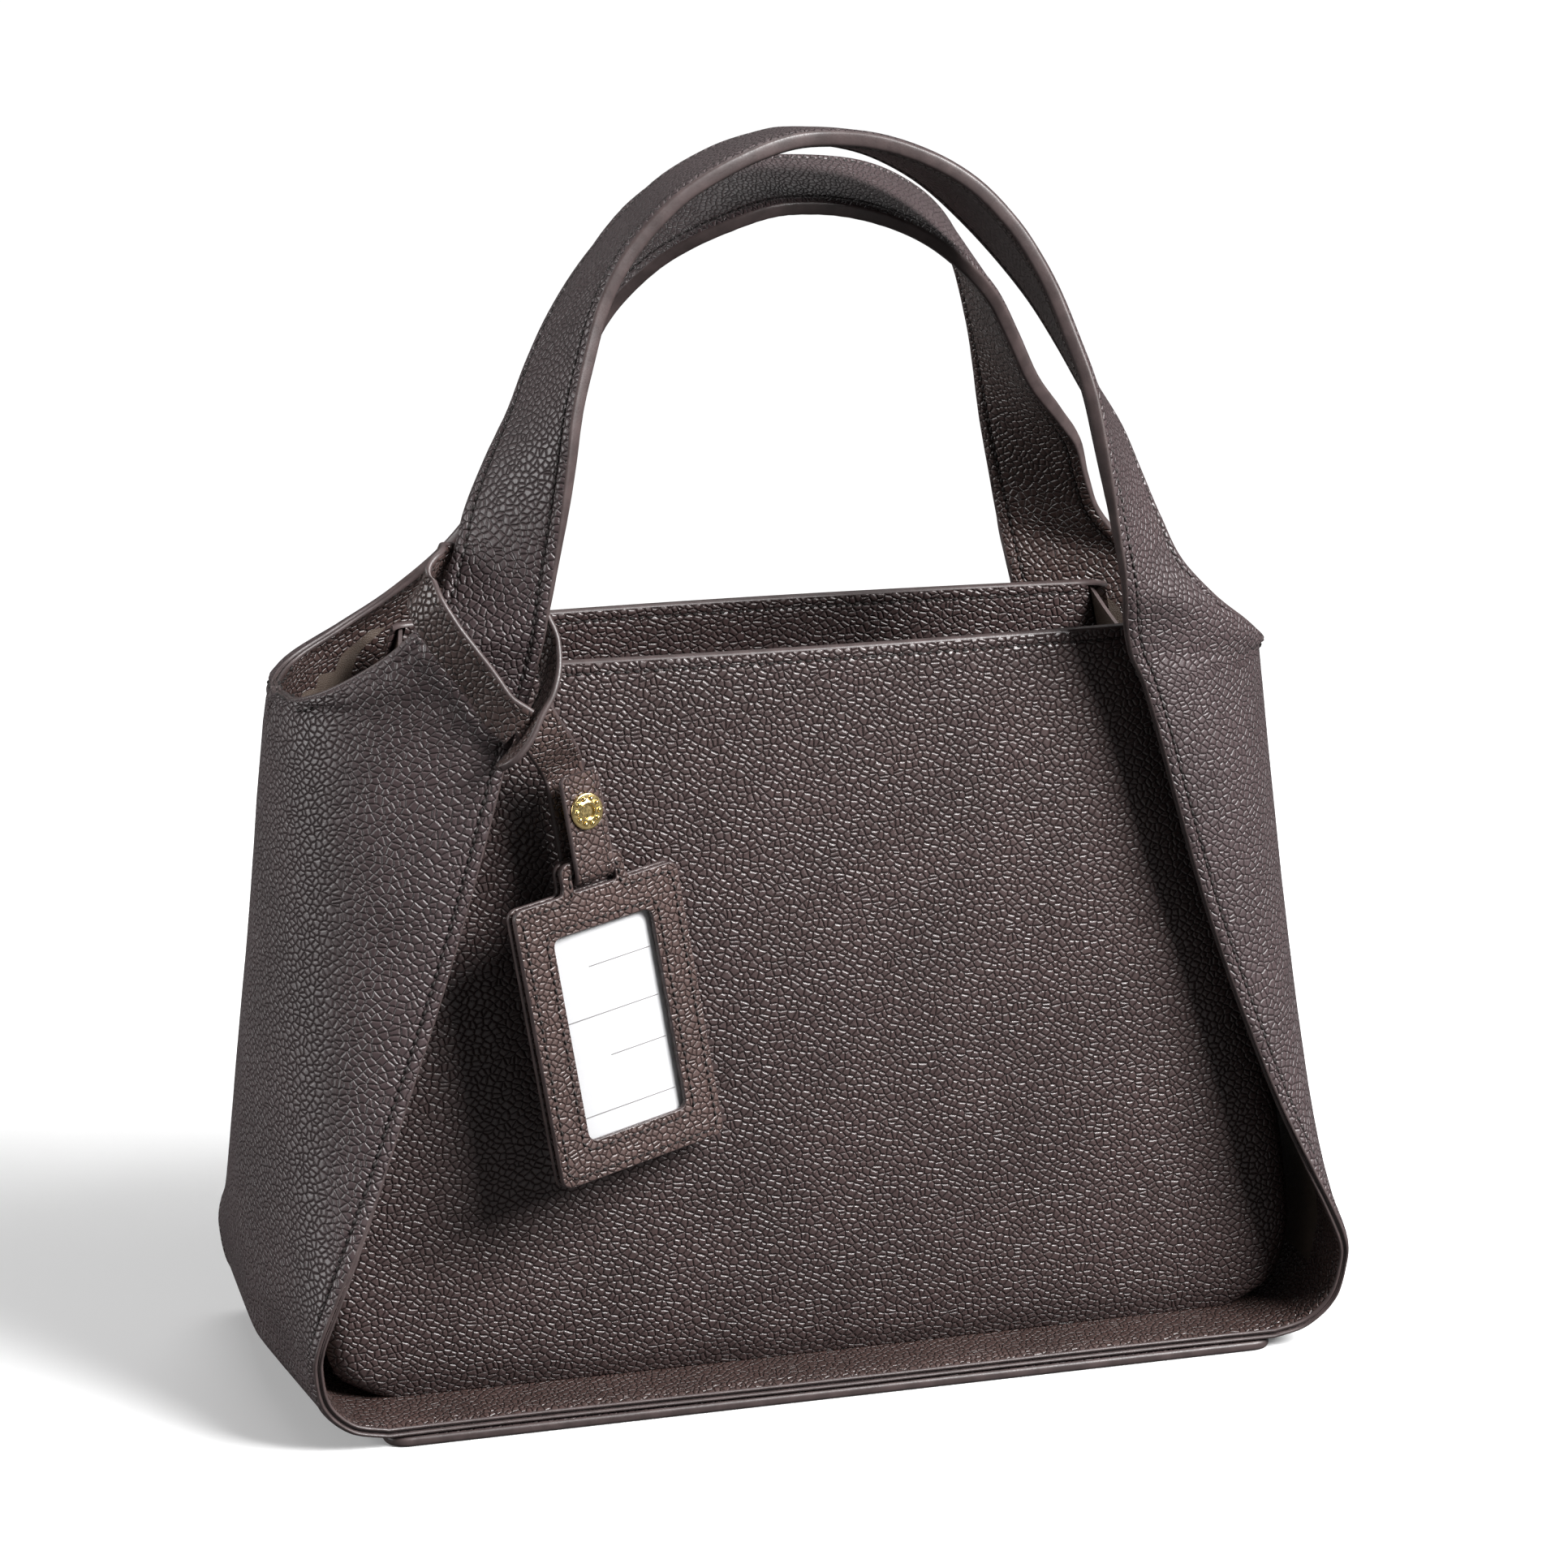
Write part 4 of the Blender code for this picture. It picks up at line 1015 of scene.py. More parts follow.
@dataclass
class Band:
    """Half of the wrap with its handle: up one side, over the arch and down the other."""

    face: Face
    palette: Palette
    near_edge: tuple = (
        (0.0, 0.0003, 0.0007, 0.0013, 0.0020, 0.0025)
        + (0.0029, 0.0033, 0.0037, 0.0041, 0.0048, 0.0060)
    )
    stops: tuple = (
        ((0, 1, 8), (1, 5, 40), (5, 12, 28), (12, 13, 18))
        + ((13, 15, 26), (15, 20, 30), (20, 30, 50))
    )
    inner_columns: int = 10
    seam_in: float = 0.0033
    presses: tuple[Press, ...] = (
        Press(0.00030, 0.0, 0.0005),
        Press(0.00055, 0.0033, 0.00045),
        Press(-0.00028, 0.0018, 0.0009),
    )
    lining_in: float = 0.0200
    lining_heights: Span = (0.0200, 0.2400)
    core_start: float = 1.5
    core_rows: float = 2.5
    parted_row: float = 15.5
    parted_rows: float = 3.0
    parted_depth: float = 0.0016
    bend_reach: float = 0.012
    rim_pitch: float = 0.0006
    length_stops: int = 121
    inner_shift: float = 0.37
    shape: WrapShape = field(init=False)
    places: Array = field(init=False)

    def __post_init__(self) -> None:
        """Picks the face's arch and sets out the rows."""
        arch = FRONT_ARCH_SHARES if self.face is Face.FRONT else BACK_ARCH_SHARES
        self.shape = WrapShape(arch)
        spans = [np.linspace(low, high, count + 1)[:-1] for low, high, count in self.stops]
        self.places = np.concatenate((*spans, [float(CROWN_ROW)]))

    @property
    def name(self) -> str:
        """Name of the band's face."""
        return self.face.name.lower()

    def thickness(self) -> Array:
        """Total thickness of the plies at each row of the quarter."""
        grown = eased((self.places - HINGE_ROW + self.core_start) / self.core_rows)
        return 2 * PLY + FIT + (CORE + FIT) * grown

    def quarter(self) -> tuple[Array, Array, Array, Array]:
        """Outer skin of the front right quarter.

        Returns:
            Points, normals and texture coordinates, each as (rows, columns, n), and each point's
            share of the way from the window edge to the side end.
        """
        points, normals, across, spread = [], [], [], []
        fine = np.linspace(0, 1, self.length_stops)
        near = np.array(self.near_edge)
        for place in self.places:
            along = lengths(self.shape.section(place, fine))
            whole = along[-1]
            middle = np.linspace(near[-1], whole - near[-1], self.inner_columns + 2)[1:-1]
            wanted = np.concatenate((near, middle, whole - near[::-1]))
            shares = np.interp(wanted, along, fine)
            points.append(self.shape.section(place, shares))
            normals.append(self.shape.normals(place, shares))
            across.append(whole - wanted)
            spread.append(shares)
        grid = np.array(points)
        grid[-1, :, 0] = 0
        across = np.array(across)
        up = np.repeat(lengths(grid[:, grid.shape[1] // 2])[:, None], grid.shape[1], 1)
        scoop, hinge = np.searchsorted(self.places, (SCOOP_ROW, HINGE_ROW))
        shift = grid[scoop, 0, 0] - grid[scoop : hinge + 1, 0, 0] + across[scoop, 0]
        across[scoop : hinge + 1] += (shift - across[scoop : hinge + 1, 0])[:, None]
        across[hinge + 1 :] += (across[hinge, 0] - across[hinge + 1 :, 0])[:, None]
        arch = up[hinge + 1 :] - up[hinge]
        up[scoop : hinge + 1] = up[scoop] + grid[scoop : hinge + 1, :, 2] - grid[scoop, :, 2]
        up[hinge + 1 :] = up[hinge] + arch
        return grid, np.array(normals), np.stack((across, up), -1), np.array(spread)

    def settled(self, spread: Array) -> Array:
        """How far each point of the whole band has moved from its even place.

        Args:
            spread: each point's share of the way from the window edge to the side end.

        Returns:
            (rows, columns, 3) ways, with depth counted outwards.
        """
        ways = np.array(SETTLE_SHARES).T / SHARE * HALF_WIDTH
        table = np.column_stack((ways, np.arange(CROWN_ROW + 1)))
        moves = np.array([between(table, place) for place in self.places])
        back = int(self.face is Face.BACK)
        halves = []
        for window, end in (
            (np.zeros(len(self.places)), moves[:, 4 + back]),
            (moves[:, 2 * back], moves[:, 2 * back + 1]),
        ):
            way = np.zeros((*spread.shape, 3))
            way[..., 0] = window[:, None] * (1 - spread) + end[:, None] * spread
            halves.append(way)
        forward = np.maximum(moves[:, 3], 0)[:, None] * spread * SETTLE_FORWARD_SHARE
        halves[1][..., 1] = -forward * back
        return np.concatenate((halves[0], halves[1][-2::-1]))

    def whole(self, quarter: Array, mirror: bool = True) -> Array:
        """Joins the right quarter and its mirror image into rows from the bottom to the bottom."""
        sign = np.array((-1.0, 1.0, 1.0)) if mirror else np.array((1.0,) * quarter.shape[-1])
        return np.concatenate((quarter, quarter[-2::-1] * sign))

    def to_world(self, points: Array) -> Array:
        """Turns depth counted outwards into a place or direction of the row frame."""
        return points * np.array((1.0, -self.face.value, 1.0))

    def texture(self, flat: Array, arch_length: float) -> Array:
        """Texture coordinates that meet those of the other band on the side walls.

        Args:
            flat: the coordinates of the quarter.
            arch_length: length that the arch takes in them.

        Returns:
            The coordinates of the whole band.
        """
        scoop, hinge = np.searchsorted(self.places, (SCOOP_ROW, HINGE_ROW))
        up = flat[:, :, 1] - flat[scoop, 0, 1]
        arch = (up[hinge + 1 :] - up[hinge]) * arch_length
        up[hinge + 1 :] = up[hinge] + arch / (up[-1] - up[hinge])
        right = np.stack((-flat[:, :, 0] * self.face.value, up), -1)
        left = np.stack((-flat[:, :, 0] * self.face.value, 2 * up[-1:] - up), -1)
        return np.concatenate((right, left[-2::-1]))

    def distances(self, points: Array) -> Array:
        """Distance of each point of the quarter from the nearest cut edge."""
        scoop = np.searchsorted(self.places, SCOOP_ROW)
        rims = np.concatenate((self.dense(points[:, 0]), self.dense(points[scoop:, -1])))
        flat = points.reshape(-1, 3)
        nearest = [np.linalg.norm(rims - spot, axis=1).min() for spot in flat]
        return np.array(nearest).reshape(points.shape[:2])

    def dense(self, line: Array) -> Array:
        """A line of points with more of them between."""
        return resample(line, self.rim_pitch)

    def build(self, arch_length: float, joint: str) -> list[Piece]:
        """Builds the plies, the painted edges and the stitches.

        Args:
            arch_length: length that the arch takes in texture coordinates.
            joint: the body that the handle is.

        Returns:
            The pieces.
        """
        grid, normals, flat, spread = self.quarter()
        away = self.distances(grid)
        pressed = sum(press.at(away) for press in self.presses)[..., None]
        thick = self.thickness()[:, None, None]
        levels = {
            "outer": grid - normals * pressed,
            "under": grid - normals * PLY,
            "over": grid - normals * (thick - PLY),
            "inner": grid - normals * (thick - pressed),
        }
        for value in levels.values():
            value[0, :, 0] = 0.0
        texture = self.texture(flat, arch_length)
        moved = self.settled(spread)
        skins = {key: self.to_world(self.whole(value) + moved) for key, value in levels.items()}
        wide = self.whole(away[..., None], False)[..., 0]
        shifted = texture + self.inner_shift
        pieces = [
            self.ply("outer", skins["outer"], skins["under"], texture, None, joint),
            self.ply("inner", skins["inner"], skins["over"], shifted, wide, joint),
        ]
        pieces.append(self.edges(skins, joint))
        pieces.append(self.seams(skins, pieces[0], pieces[1]))
        for piece in pieces:
            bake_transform(piece)
        return pieces

    def ply(
        self, layer: str, skin: Array, back: Array, flat: Array, away: Optional[Array], joint: str
    ) -> Piece:
        """One ply as a closed sheet.

        Args:
            layer: "outer" or "inner".
            skin: the points that show.
            back: the points that face the other ply.
            flat: texture coordinates.
            away: distance from the cut edges, to set where the lining starts, or None.
            joint: the body that the handle is.

        Returns:
            The ply.
        """
        slots: Any = 0
        if away is not None:
            height = skin[:-1, :-1, 2]
            low, high = self.lining_heights
            inside = (away[:-1, :-1] > self.lining_in) & (height > low) & (height < high)
            slots = inside.astype(int).reshape(-1)
        builder = MeshBuilder()
        builder.slab(skin, back, flat, (slots, 0, 2), ends=False)
        leather = self.palette.outer if layer == "outer" else self.palette.inner
        materials = [leather, self.palette.lining, self.palette.paint]
        made = builder.build(f"{self.name}_band_{layer}", materials)
        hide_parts(f"wrap_{layer}_left", f"wrap_{layer}_right", f"{joint}_{layer}")
        return made

    def rims(self, skins: dict[str, Array]) -> list[tuple[Array, Array, Array, Array]]:
        """Finds the band's cut edges.

        Args:
            skins: the band's skins by name.

        Returns:
            For each edge, its rows, its outer rim, its inner rim and the outward direction there.
        """
        scoop = int(np.searchsorted(self.places, SCOOP_ROW))
        count = len(skins["outer"])
        reach = len(self.near_edge)
        found = []
        for column, inside, rows in (
            (0, reach, np.arange(count)),
            (-1, -1 - reach, np.arange(scoop, count - scoop)),
        ):
            outer = skins["outer"][rows, column]
            inner = skins["inner"][rows, column]
            normal = unit(outer - inner)
            out = unit(np.cross(normal, tangents(outer)))
            towards = skins["outer"][rows, inside] - outer
            flip = np.sign(np.einsum("ij,ij->i", out, towards))
            flip[flip == 0] = 1
            found.append((rows, outer, inner, -out * flip[:, None]))
        return found

    def edges(self, skins: dict[str, Array], joint: str) -> Piece:
        """The painted edges, with a dark line between the plies below the handles.

        Args:
            skins: the band's skins by name.
            joint: the body that the handle is.

        Returns:
            The painted edges.
        """
        builder = MeshBuilder()
        closing = eased((self.places - self.parted_row) / self.parted_rows)
        parted = self.whole((1 - closing)[:, None], False)[:, 0]
        for rows, outer, inner, out in self.rims(skins):
            groove = self.parted_depth * parted[rows]
            Bead().add(builder, outer, inner, out, groove, caps=len(rows) < len(parted))
        made = builder.build(f"{self.name}_band_edges", [self.palette.paint])
        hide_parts(f"{joint}_core")
        return made

    def seams(self, skins: dict[str, Array], outer: Piece, inner: Piece) -> Piece:
        """The stitches along every cut edge, on both faces.

        Args:
            skins: the band's skins by name.
            outer: the outer ply.
            inner: the inner ply.

        Returns:
            The stitches.
        """
        builder = MeshBuilder()
        seam = Seam()
        start = int(np.searchsorted(self.places, 1.0))
        for ply in (outer, inner):
            tree = BVHTree.FromPolygons(
                [vertex.co for vertex in ply.data.vertices],
                [tuple(polygon.vertices) for polygon in ply.data.polygons],
            )
            for rows, rim, back, out in self.rims(skins):
                line = rim if ply is outer else back
                kept = (rows >= start) & (rows < len(skins["outer"]) - start)
                seam.on_surface(builder, tree, line[kept], -out[kept], self.seam_in)
        made = builder.build(f"{self.name}_band_stitches", [self.palette.thread])
        return made


@dataclass
class Wrap:
    """The two bands, which meet on the middle line of each side wall."""

    palette: Palette

    def build(self) -> list[Piece]:
        """Builds both bands."""
        front = Band(Face.FRONT, self.palette)
        _, _, flat, _ = front.quarter()
        hinge = np.searchsorted(front.places, HINGE_ROW)
        arch_length = float(flat[-1, 0, 1] - flat[hinge, 0, 1])
        pieces = front.build(arch_length, "handle_front")
        pieces += Band(Face.BACK, self.palette).build(arch_length, "handle_back")
        return pieces


# -------- the pouch and the base


@dataclass
class Pouch:
    """The recessed body of the bag: two crowned panels, lined, with a gusset at each end."""

    palette: Palette
    rim_height: float = 0.2255
    width_shares: tuple = (
        ((0.0, 0.835), (0.02, 0.885), (0.06, 0.920))
        + ((0.15, 0.925), (0.30, 0.895), (1.0, 0.687))
    )
    depth_shares: tuple = (
        ((0.0, 0.640), (0.025, 0.680), (0.08, 0.712), (0.29, 0.722))
        + ((0.52, 0.696), (0.74, 0.642), (1.0, 0.572))
    )
    near_rim: tuple = (
        (0.030, 0.0255, 0.0225, 0.0195, 0.0170, 0.0145)
        + (0.0120, 0.0090, 0.0060, 0.0030, 0.0)
    )
    near_rim_gap: float = 0.004
    crown: float = 0.0050
    foot_crown: float = 0.0015
    facing_height: float = 0.0360
    gusset_dip: float = 0.0140
    gusset_bulge: float = 0.0050
    rows: int = 9
    row_power: float = 1.5
    foot_power: float = 1.2
    crown_full: float = 0.25
    sheet_rows: int = 46
    sheet_columns: int = 61
    end_power: float = 1.15
    gusset_rows: int = 36
    gusset_columns: int = 25
    turn_in: float = 0.0070
    turn_depth: float = 0.75
    turn_end: float = 0.96
    seam: Press = Press(0.00052, 0.0030, 0.00045)
    edge: Press = Press(0.00030, 0.0, 0.0005)
    bead_bulge: float = 0.0009
    back_seam_short: float = 0.0045
    shift: float = 0.11
    table: Array = field(init=False)

    def __post_init__(self) -> None:
        """Sets out half width, depth, crown and height for each row."""
        foot = SIDE_ROW_SHARES[0][2] / SHARE * RISE + 2 * PLY + 2 * FIT
        shares = (np.arange(self.rows + 1) / self.rows) ** self.row_power
        wide = np.interp(shares, *zip(*self.width_shares)) * HALF_WIDTH
        deep = np.interp(shares, *zip(*self.depth_shares)) * HALF_DEPTH
        grown = np.minimum(shares / self.crown_full, 1)
        crown = self.foot_crown + (self.crown - self.foot_crown) * grown
        height = foot + shares * (self.rim_height - foot)
        self.table = np.stack((wide, deep, crown, height), -1)

    def places(self, low: float, count: int) -> Array:
        """Rows up to the rim, closer together at the foot and at the rim.

        Args:
            low: height share where they start.
            count: about how many there are.

        Returns:
            The rows.
        """
        even = np.linspace(0, 1, count)
        shares = low + (1 - low) * even**self.foot_power
        near = 1 - np.array(self.near_rim)
        shares = np.concatenate((shares[shares < near[0] - self.near_rim_gap], near))
        return shares ** (1 / self.row_power) * self.rows

    def panel(
        self, face: Face, places: Array, level: float, narrower: float, turned: bool
    ) -> tuple[Array, Array]:
        """Points of one sheet of the front or back.

        Args:
            face: which face.
            places: rows of the sheet.
            level: how far inside the outer face the sheet lies.
            narrower: how much less wide it is on each side.
            turned: whether its ends turn in round the corner.

        Returns:
            Points and texture coordinates.
        """
        even = np.linspace(-1, 1, self.sheet_columns)
        across = np.sign(even) * (1 - (1 - np.abs(even)) ** self.end_power)
        points, flat = [], []
        for place in places:
            wide, deep, crown, height = between(self.table, place)
            half = wide - narrower
            x = across * half
            depth = deep - crown * (x / wide) ** 2 - level
            if turned:
                past = np.maximum(np.abs(x) - (half - self.turn_in), 0) / self.turn_in
                left = np.sqrt(np.maximum(1 - past**2 * self.turn_end, 0))
                depth = depth - self.turn_in * self.turn_depth * (1 - left)
            points.append(np.stack((x, -face.value * depth, np.full_like(x, height)), -1))
            flat.append(np.stack((x, np.full_like(x, height)), -1))
        return np.array(points), np.array(flat) + self.shift * (2 + face.value)

    def sheet(
        self, face: Face, layer: str, thickness: float, level: float, narrower: float, low: float
    ) -> Piece:
        """Builds one sheet, with the hollows of its seam and of its rounded rim pressed in near the
        top, except on the lining.

        Args:
            face: which face.
            layer: "panel", "lining" or "facing".
            thickness: of the sheet.
            level: how far inside the outer face its outer skin lies.
            narrower: how much less wide it is on each side.
            low: height share where it starts.

        Returns:
            The sheet.
        """
        places = self.places(low, self.sheet_rows)
        turned = layer == "panel"
        top, flat = self.panel(face, places, level, narrower, turned)
        under, _ = self.panel(face, places, level + thickness, narrower, turned)
        if layer != "lining":
            skin = top if layer == "panel" else under
            sign = 1 if layer == "panel" else -1
            away = self.rim_height - skin[..., 2]
            pressed = self.seam.at(away) + self.edge.at(away)
            skin[..., 1] += face.value * sign * pressed
        builder = MeshBuilder()
        builder.slab(top, under, flat, (0, 0, 1))
        leather, slot = {
            "panel": (self.palette.panel, "leather_outer"),
            "lining": (self.palette.lining, "lining"),
            "facing": (self.palette.panel, "leather_inner"),
        }[layer]
        node = f"{face.name.lower()}_{layer}"
        made = builder.build("pouch_" + node, [leather, self.palette.paint])
        return declare(made, "tote", [node])

    def rim(self, face: Face) -> list[Piece]:
        """Builds the painted edge along the top of the panel and its facing, and its stitches.

        Args:
            face: which face.

        Returns:
            The edge and the stitches.
        """
        name = f"pouch_{face.name.lower()}"
        places = self.places(0.0, self.sheet_rows)
        thick = PLY + LINING_PLY + FACING_PLY + 2 * FIT
        outer, _ = self.panel(face, places, self.edge.depth, 0.0, True)
        inner, _ = self.panel(face, places, thick - self.edge.depth, 0.0, True)
        builder = MeshBuilder()
        up = np.broadcast_to(np.array((0.0, 0.0, 1.0)), outer[-1].shape)
        Bead(bulge=self.bead_bulge).add(builder, outer[-1], inner[-1], up)
        bead = builder.build(name + "_rim", [self.palette.paint])
        stitches = MeshBuilder()
        for level, sign in ((self.seam.depth, 1), (thick - self.seam.depth, -1)):
            narrower = 0.0 if sign == 1 else self.back_seam_short
            grid, _ = self.panel(face, places, level, narrower, sign == 1)
            heights = grid[:, self.sheet_columns // 2, 2]
            row = int(np.argmin(np.abs(heights - (self.rim_height - self.seam.middle))))
            normals = np.broadcast_to(np.array((0.0, -face.value * sign, 0.0)), grid[row].shape)
            Seam().stitches(stitches, grid[row][2:-2], normals[2:-2])
        sewn = stitches.build(name + "_stitches", [self.palette.thread])
        return [declare(piece, "tote") for piece in (bead, sewn)]

    def gusset(self, side: Side) -> Piece:
        """Builds an end of the pouch, bulging outwards, with a top edge that dips in the middle.

        Args:
            side: which end.

        Returns:
            The gusset.
        """
        across = np.linspace(-1, 1, self.gusset_columns)
        middle = 1 - across**2
        skins = []
        for level in (0.0, FACING_PLY):
            points = []
            for place in self.places(0.0, self.gusset_rows):
                wide, deep, crown, height = between(self.table, place)
                share = (place / self.rows) ** self.row_power
                reach = deep - crown - PLY - FIT
                out = wide - 2 * PLY + self.gusset_bulge * middle * share - level
                drop = self.gusset_dip * middle * share**2
                points.append(np.stack((side.value * out, across * reach, height - drop), -1))
            skins.append(np.array(points))
        builder = MeshBuilder()
        builder.slab(skins[0], skins[1], skins[0][..., 1:3].copy(), (0, 0, 1))
        end = side.name.lower()
        made = builder.build(f"pouch_gusset_{end}", [self.palette.lining, self.palette.paint])
        return declare(made, "tote", [f"gusset_{end}"])

    def build(self) -> list[Piece]:
        """Builds the whole pouch.

        Returns:
            Its pieces.
        """
        pieces = []
        narrow = 2 * PLY + FACING_PLY + 2 * FIT
        foot = float(self.table[0, 3])
        facing_low = 1 - self.facing_height / (self.rim_height - foot)
        for face in Face:
            pieces.append(self.sheet(face, "panel", PLY, 0.0, 0.0, 0.0))
            pieces.append(self.sheet(face, "lining", LINING_PLY, PLY + FIT, narrow, 0.0))
            level = PLY + LINING_PLY + 2 * FIT
            pieces.append(self.sheet(face, "facing", FACING_PLY, level, narrow, facing_low))
            pieces += self.rim(face)
        pieces += [self.gusset(side) for side in Side]
        return pieces


def rounded(corners: Sequence[tuple], radii: Sequence[float], steps: int = 10) -> Array:
    """An outline with its corners rounded.

    Args:
        corners: (x, y) of each corner in order.
        radii: how far from each corner its round starts.
        steps: pieces of each round.

    Returns:
        (count, 2) points.
    """
    outline = []
    count = len(corners)
    for index, corner in enumerate(corners):
        here = np.array(corner)
        before = unit(np.array(corners[index - 1]) - here)
        after = unit(np.array(corners[(index + 1) % count]) - here)
        for share in np.linspace(0, 1, steps + 1):
            start = here + before * radii[index]
            end = here + after * radii[index]
            outer = start * (1 - share) ** 2 + here * 2 * share * (1 - share)
            outline.append(outer + end * share**2)
    return np.array(outline)


def box_outline(half_x: float, half_y: float, radius: float) -> Array:
    """A rounded rectangle about the origin."""
    corners = [(-half_x, -half_y), (half_x, -half_y), (half_x, half_y), (-half_x, half_y)]
    return rounded(corners, [radius] * 4)


@dataclass
class Plate:
    """A flat piece cut from a sheet, with its edges rounded over."""

    thickness: float
    bevel: float = 0.0004
    rounds: int = 3
    merge: float = 1e-6
    sharp: float = math.radians(40)
    upright: float = 0.95

    def build(
        self,
        name: str,
        rim: Array,
        holes: Sequence[Array],
        matrix: Matrix,
        materials: Sequence[Material],
    ) -> Piece:
        """Cuts the plate.

        Args:
            name: its name.
            rim: (count, 2) outline, already smaller by the bevel.
            holes: outlines of its holes, already larger by the bevel.
            matrix: where its middle lies.
            materials: for the faces and for the edges.

        Returns:
            The plate as a mesh.
        """
        curve = bpy.data.curves.new(name, "CURVE")
        curve.dimensions = "2D"
        curve.fill_mode = "BOTH"
        curve.extrude = self.thickness / 2 - self.bevel
        curve.bevel_depth = self.bevel
        curve.bevel_resolution = self.rounds
        for outline in (rim, *(hole[::-1] for hole in holes)):
            spline = curve.splines.new("POLY")
            spline.points.add(len(outline) - 1)
            for point, (x, y) in zip(spline.points, outline):
                point.co = (x, y, 0.0, 1.0)
            spline.use_cyclic_u = True
        source = bpy.data.objects.new(name + "_outline", curve)
        bpy.context.scene.collection.objects.link(source)
        bpy.context.view_layer.update()
        shown = source.evaluated_get(bpy.context.evaluated_depsgraph_get())
        mesh = bpy.data.meshes.new_from_object(shown)
        bpy.data.objects.remove(source)
        mesh.name = name
        while mesh.uv_layers:
            mesh.uv_layers.remove(mesh.uv_layers[0])
        mesh.materials.clear()
        for material in materials:
            mesh.materials.append(material)
        work = bmesh.new()
        work.from_mesh(mesh)
        bmesh.ops.remove_doubles(work, verts=work.verts, dist=self.merge)
        bmesh.ops.recalc_face_normals(work, faces=work.faces)
        layer = work.loops.layers.uv.new("UVMap")
        for face in work.faces:
            face.material_index = 0 if abs(face.normal.z) > self.upright else len(materials) - 1
            for loop in face.loops:
                loop[layer].uv = (loop.vert.co.x, loop.vert.co.y + loop.vert.co.z)
        work.to_mesh(mesh)
        work.free()
        mesh.shade_smooth()
        mesh.set_sharp_from_angle(angle=self.sharp)
        made = bpy.data.objects.new(name, mesh)
        bpy.context.scene.collection.objects.link(made)
        made.matrix_world = matrix
        return made


@dataclass
class Base:
    """The leather overlay that the bag stands on, and the board inside the pouch."""

    palette: Palette
    half_length: float = 0.1410
    half_depth: float = 0.0645
    thickness: float = 0.0031
    corner: float = 0.0060
    board_half_length: float = 0.1330
    bevel: float = 0.0012
    rounds: int = 5
    board_thickness: float = 0.0020
    board_bevel: float = 0.0004
    board_corner: float = 0.008

    def build(self) -> list[Piece]:
        """Builds the overlay and the board.

        Returns:
            The two pieces.
        """
        rim = box_outline(self.half_length - self.bevel, self.half_depth - self.bevel, self.corner)
        lift = Matrix.Translation((0.0, 0.0, self.thickness / 2))
        plate = Plate(self.thickness, self.bevel, self.rounds)
        materials = [self.palette.outer, self.palette.paint]
        overlay = plate.build("base_overlay", rim, [], lift, materials)
        low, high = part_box("base_board")
        half_x, half_y = self.board_half_length - self.board_bevel, high.y - self.board_bevel
        rim = box_outline(half_x, half_y, self.board_corner)
        lift = Matrix.Translation((0.0, 0.0, (low.z + high.z) / 2))
        plate = Plate(self.board_thickness, self.board_bevel)
        board = plate.build("pouch_board", rim, [], lift, [self.palette.board])
        return [
            declare(overlay, "tote", ["base_panel"]),
            declare(board, "tote", ["base_board"]),
        ]


# -------- the strap, the snap and the tag


@dataclass
class TagPlace:
    """Where the tag hangs and how its strap folds round it."""

    place: tuple = (-0.0762, -0.0532, 0.1662)
    turn: float = math.radians(17.9)
    roll: float = math.radians(6.9)
    lean: float = math.radians(7.5)
    front_ply: float = 0.0020
    back_ply: float = 0.0016
    sheet: float = 0.0003
    strap_thickness: float = 0.0018
    fold_slack: float = 0.0003
    above_slot: float = 0.0034

    @property
    def matrix(self) -> Matrix:
        """The tag's frame: its origin is the middle of the slot, X its width and Z its face."""
        turn = Matrix.Rotation(self.turn, 3, "Z")
        lean = Matrix.Rotation(math.pi / 2 - self.lean, 3, "X")
        roll = Matrix.Rotation(self.roll, 3, "Z")
        matrix = (turn @ lean @ roll).to_4x4()
        matrix.translation = Vector(self.place)
        return matrix

    @property
    def stack(self) -> float:
        """Thickness of the tag with its film and card."""
        return self.front_ply + self.sheet + self.sheet + 3 * FIT + self.back_ply

    @property
    def sideways(self) -> Array:
        """Direction of the tag's width."""
        return np.array(self.matrix.col[0].to_3d())

    @property
    def down(self) -> Array:
        """Direction from the slot to the tag's foot."""
        return -np.array(self.matrix.col[1].to_3d())

    @property
    def out(self) -> Array:
        """Direction that the tag faces."""
        return np.array(self.matrix.col[2].to_3d())

    @property
    def fold(self) -> Array:
        """Middle of the fold."""
        return np.array(self.place) - self.down * self.above_slot

    @property
    def radius(self) -> float:
        """Radius of the fold at the strap's middle."""
        return (self.stack + self.strap_thickness) / 2 + self.fold_slack


